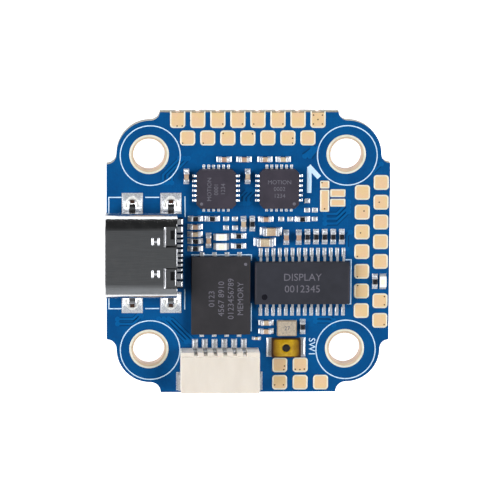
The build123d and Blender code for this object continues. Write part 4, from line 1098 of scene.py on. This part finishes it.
mark_chip("osd_body", ["DISPLAY", "0012345"], 1.05)
mark_chip("flash_body", ["0123", "4567 8910", "0123456789", "MEMORY"], 0.85, 90, shift=(0.55, -0.3))
mark_chip("gyro_1_body", ["MOTION", "0001", "1234"], 0.6, 90)
mark_chip("gyro_2_body", ["MOTION", "0002", "1234"], 0.6)
mark_chip("mcu_body", ["CONTROLLER", "64", "0012345"], 1.1, up=-1)
mark_chip("inductor_core", ["100"], 1.5, up=-1)
mark_chip("step_down_regulator_body", ["5V"], 0.8, up=-1)
mark_chip("low_drop_regulator_body", ["3V3"], 0.8, up=-1)
mark_chip("osd_crystal_lid", ["27"], 0.6)
mark_chip("mcu_crystal_lid", ["8"], 1.1, up=-1)
lettering("button_legend", "SW1", (6.64, -9.85, 0.003), 0.95, -90, INK)

dots = Shape()
for node_name, dx, dy in (("gyro_1_body", -1, -1), ("gyro_2_body", 1, -1), ("flash_body", 1, 1)):
    low, high = (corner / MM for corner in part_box(node_name))
    x = (high.x - 0.5) if dx > 0 else (low.x + 0.5)
    y = (high.y - 0.75) if dy > 0 else (low.y + 0.5)
    disc(dots, x, y, high.z + 0.002, 0.16, steps=20)
low, high = (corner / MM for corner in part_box("osd_body"))
disc(dots, low.x + 1.0, low.y + 0.8, high.z + 0.002, 0.3, mark=1, steps=24, rise=-0.001)
low, high = (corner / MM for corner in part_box("mcu_body"))
disc(dots, low.x + 1.2, high.y - 1.2, low.z - 0.002, 0.4, side=-1, mark=1, steps=24)
dots.piece("first_lead_marks", "chip_moulding", [LASER, POLISHED])

# Sharp end edges of the display chip's lid: beads in the lighter sensor epoxy, a painted highlight along each
# edge
low, high = (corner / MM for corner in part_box("osd_body"))
ends = Shape()
for x in (low.x + 0.1, high.x - 0.1):
    bead(ends, (x, low.y + 0.12), (x, high.y - 0.12), 0.05, high.z - 0.03, high.z + 0.012)
ends.piece("display_chip_edge_highlights", "chip_moulding", [SENSOR_EPOXY])


# ---- Button film -----------------------------------------------------------------------

def button_film():
    """Film pressed over the snap dome: flat where it's bonded, crowned round the plunger."""
    low, high = (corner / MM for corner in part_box("boot_button_film"))
    middle = (low + high) / 2
    hole = 0.4
    shape = Shape()
    rings = []
    bottoms = []
    corners = [(x, y) for x, y, normal in rounded_outline(low, high, 0.3, 12)]
    outline = []
    for (x0, y0), (x1, y1) in zip(corners, corners[1:] + corners[:1]):
        parts = max(1, round(math.hypot(x1 - x0, y1 - y0) / 0.1))
        outline += [(x0 + (x1 - x0) * k / parts, y0 + (y1 - y0) * k / parts) for k in range(parts)]
    for i in range(9):
        t = i / 8
        row = []
        for x, y in outline:
            away = Vector((x - middle.x, y - middle.y))
            inner = away.normalized() * hole
            flat = inner.lerp(away, t)
            rise = 0.075 * math.exp(-((flat.length - 0.56) / 0.2) ** 2)
            z = high.z - 0.01 + rise if i < 8 else high.z - 0.03
            row.append((middle.x + flat.x, middle.y + flat.y, z))
        rings.append(row)
    for row in (rings[-1], rings[0]):
        bottoms.append([(x, y, low.z) for x, y, z in row])
    shape.grid([bottoms[1]] + rings + [bottoms[0], bottoms[1]], closed=True)
    piece = shape.piece("button_film_crowned", "amber_film", [AMBER], smooth=50)
    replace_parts(piece, "boot_button_film")


button_film()


# ---- Stage: floor, light and camera ----------------------------------------------------

def floor():
    """A wide pale floor under the part."""
    size = 2.5
    mesh = bpy.data.meshes.new("floor")
    z = cad_low.z - 0.02 * MM
    corners = [(-size, -size, z), (size, -size, z), (size, size, z), (-size, size, z)]
    mesh.from_pydata(corners, [], [[0, 1, 2, 3]])
    s = Shader("floor_paper", roughness=0.9, specular=0.1)
    grain = s.noise(0.4, 4)
    s.feed("Base Color", s.blend(s.spread(grain, 0.3, 0.7), srgb(250, 250, 250), srgb(253, 253, 253)))
    s.set("Emission Color", (1.0, 1.0, 1.0, 1.0))
    s.set("Emission Strength", 0.8)
    mesh.materials.append(s.material)
    made = bpy.data.objects.new("floor", mesh)
    bpy.context.scene.collection.objects.link(made)
    made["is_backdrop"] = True


def softbox(name, place, aim, width, height, power):
    """A rectangular soft light at place, aimed at a point."""
    light = bpy.data.lights.new(name, "AREA")
    light.shape = "RECTANGLE"
    light.size = width
    light.size_y = height
    light.energy = power
    made = bpy.data.objects.new(name, light)
    made.location = place
    made.rotation_mode = "QUATERNION"
    made.rotation_quaternion = (Vector(aim) - Vector(place)).to_track_quat("-Z", "Y")
    bpy.context.scene.collection.objects.link(made)


def studio():
    """Dim surroundings, dark overhead and at the back, a softbox on each side and a low strip behind."""
    world = bpy.data.worlds.new("studio")
    world.use_nodes = True
    tree = world.node_tree
    background = tree.nodes["Background"]
    coordinates = tree.nodes.new("ShaderNodeTexCoord")
    split = tree.nodes.new("ShaderNodeSeparateXYZ")
    depth = tree.nodes.new("ShaderNodeMapRange")
    depth.interpolation_type = "SMOOTHSTEP"
    ramp = (("From Min", -0.9), ("From Max", 0.25), ("To Min", 0.42), ("To Max", 0.025))
    for socket, value in ramp:
        depth.inputs[socket].default_value = value
    tree.links.new(coordinates.outputs["Generated"], split.inputs["Vector"])
    tree.links.new(split.outputs["Y"], depth.inputs["Value"])
    tree.links.new(depth.outputs["Result"], background.inputs["Strength"])
    background.inputs["Color"].default_value = (0.92, 0.96, 1.0, 1.0)
    bpy.context.scene.world = world
    softbox("left_softbox", (-0.42, 0.02, 0.34), (0, 0, 0), 0.42, 0.3, 2.75)
    softbox("right_softbox", (0.42, 0.02, 0.34), (0, 0, 0), 0.42, 0.3, 2.75)
    softbox("back_strip", (0.0, 0.7, 0.012), (0, 0, 0), 0.9, 0.03, 2.0)
    bpy.context.scene.view_settings.view_transform = "Standard"


# Camera: lean about X, Y and Z in degrees, place in its own leaning axes in mm, focal length
CAMERA_LEAN = (8.72, 2.79, 0.14)
CAMERA_PLACE = (0.28, 0.19, 365.0)
CAMERA_LENS = 258.2


def camera():
    """Nearly straight above, leaning towards the board's top and left edges."""
    lean = Euler([math.radians(angle) for angle in CAMERA_LEAN], "XYZ").to_matrix()
    seen_from = lean.transposed()
    data = bpy.data.cameras.new("camera")
    data.sensor_width = 36.0
    data.lens = CAMERA_LENS
    data.clip_start = 0.01
    data.clip_end = 5.0
    made = bpy.data.objects.new("camera", data)
    place = seen_from @ (Vector(CAMERA_PLACE) * MM)
    made.matrix_world = Matrix.Translation(place) @ seen_from.to_4x4()
    bpy.context.scene.collection.objects.link(made)
    bpy.context.scene.camera = made


floor()
studio()
camera()

low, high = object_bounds()
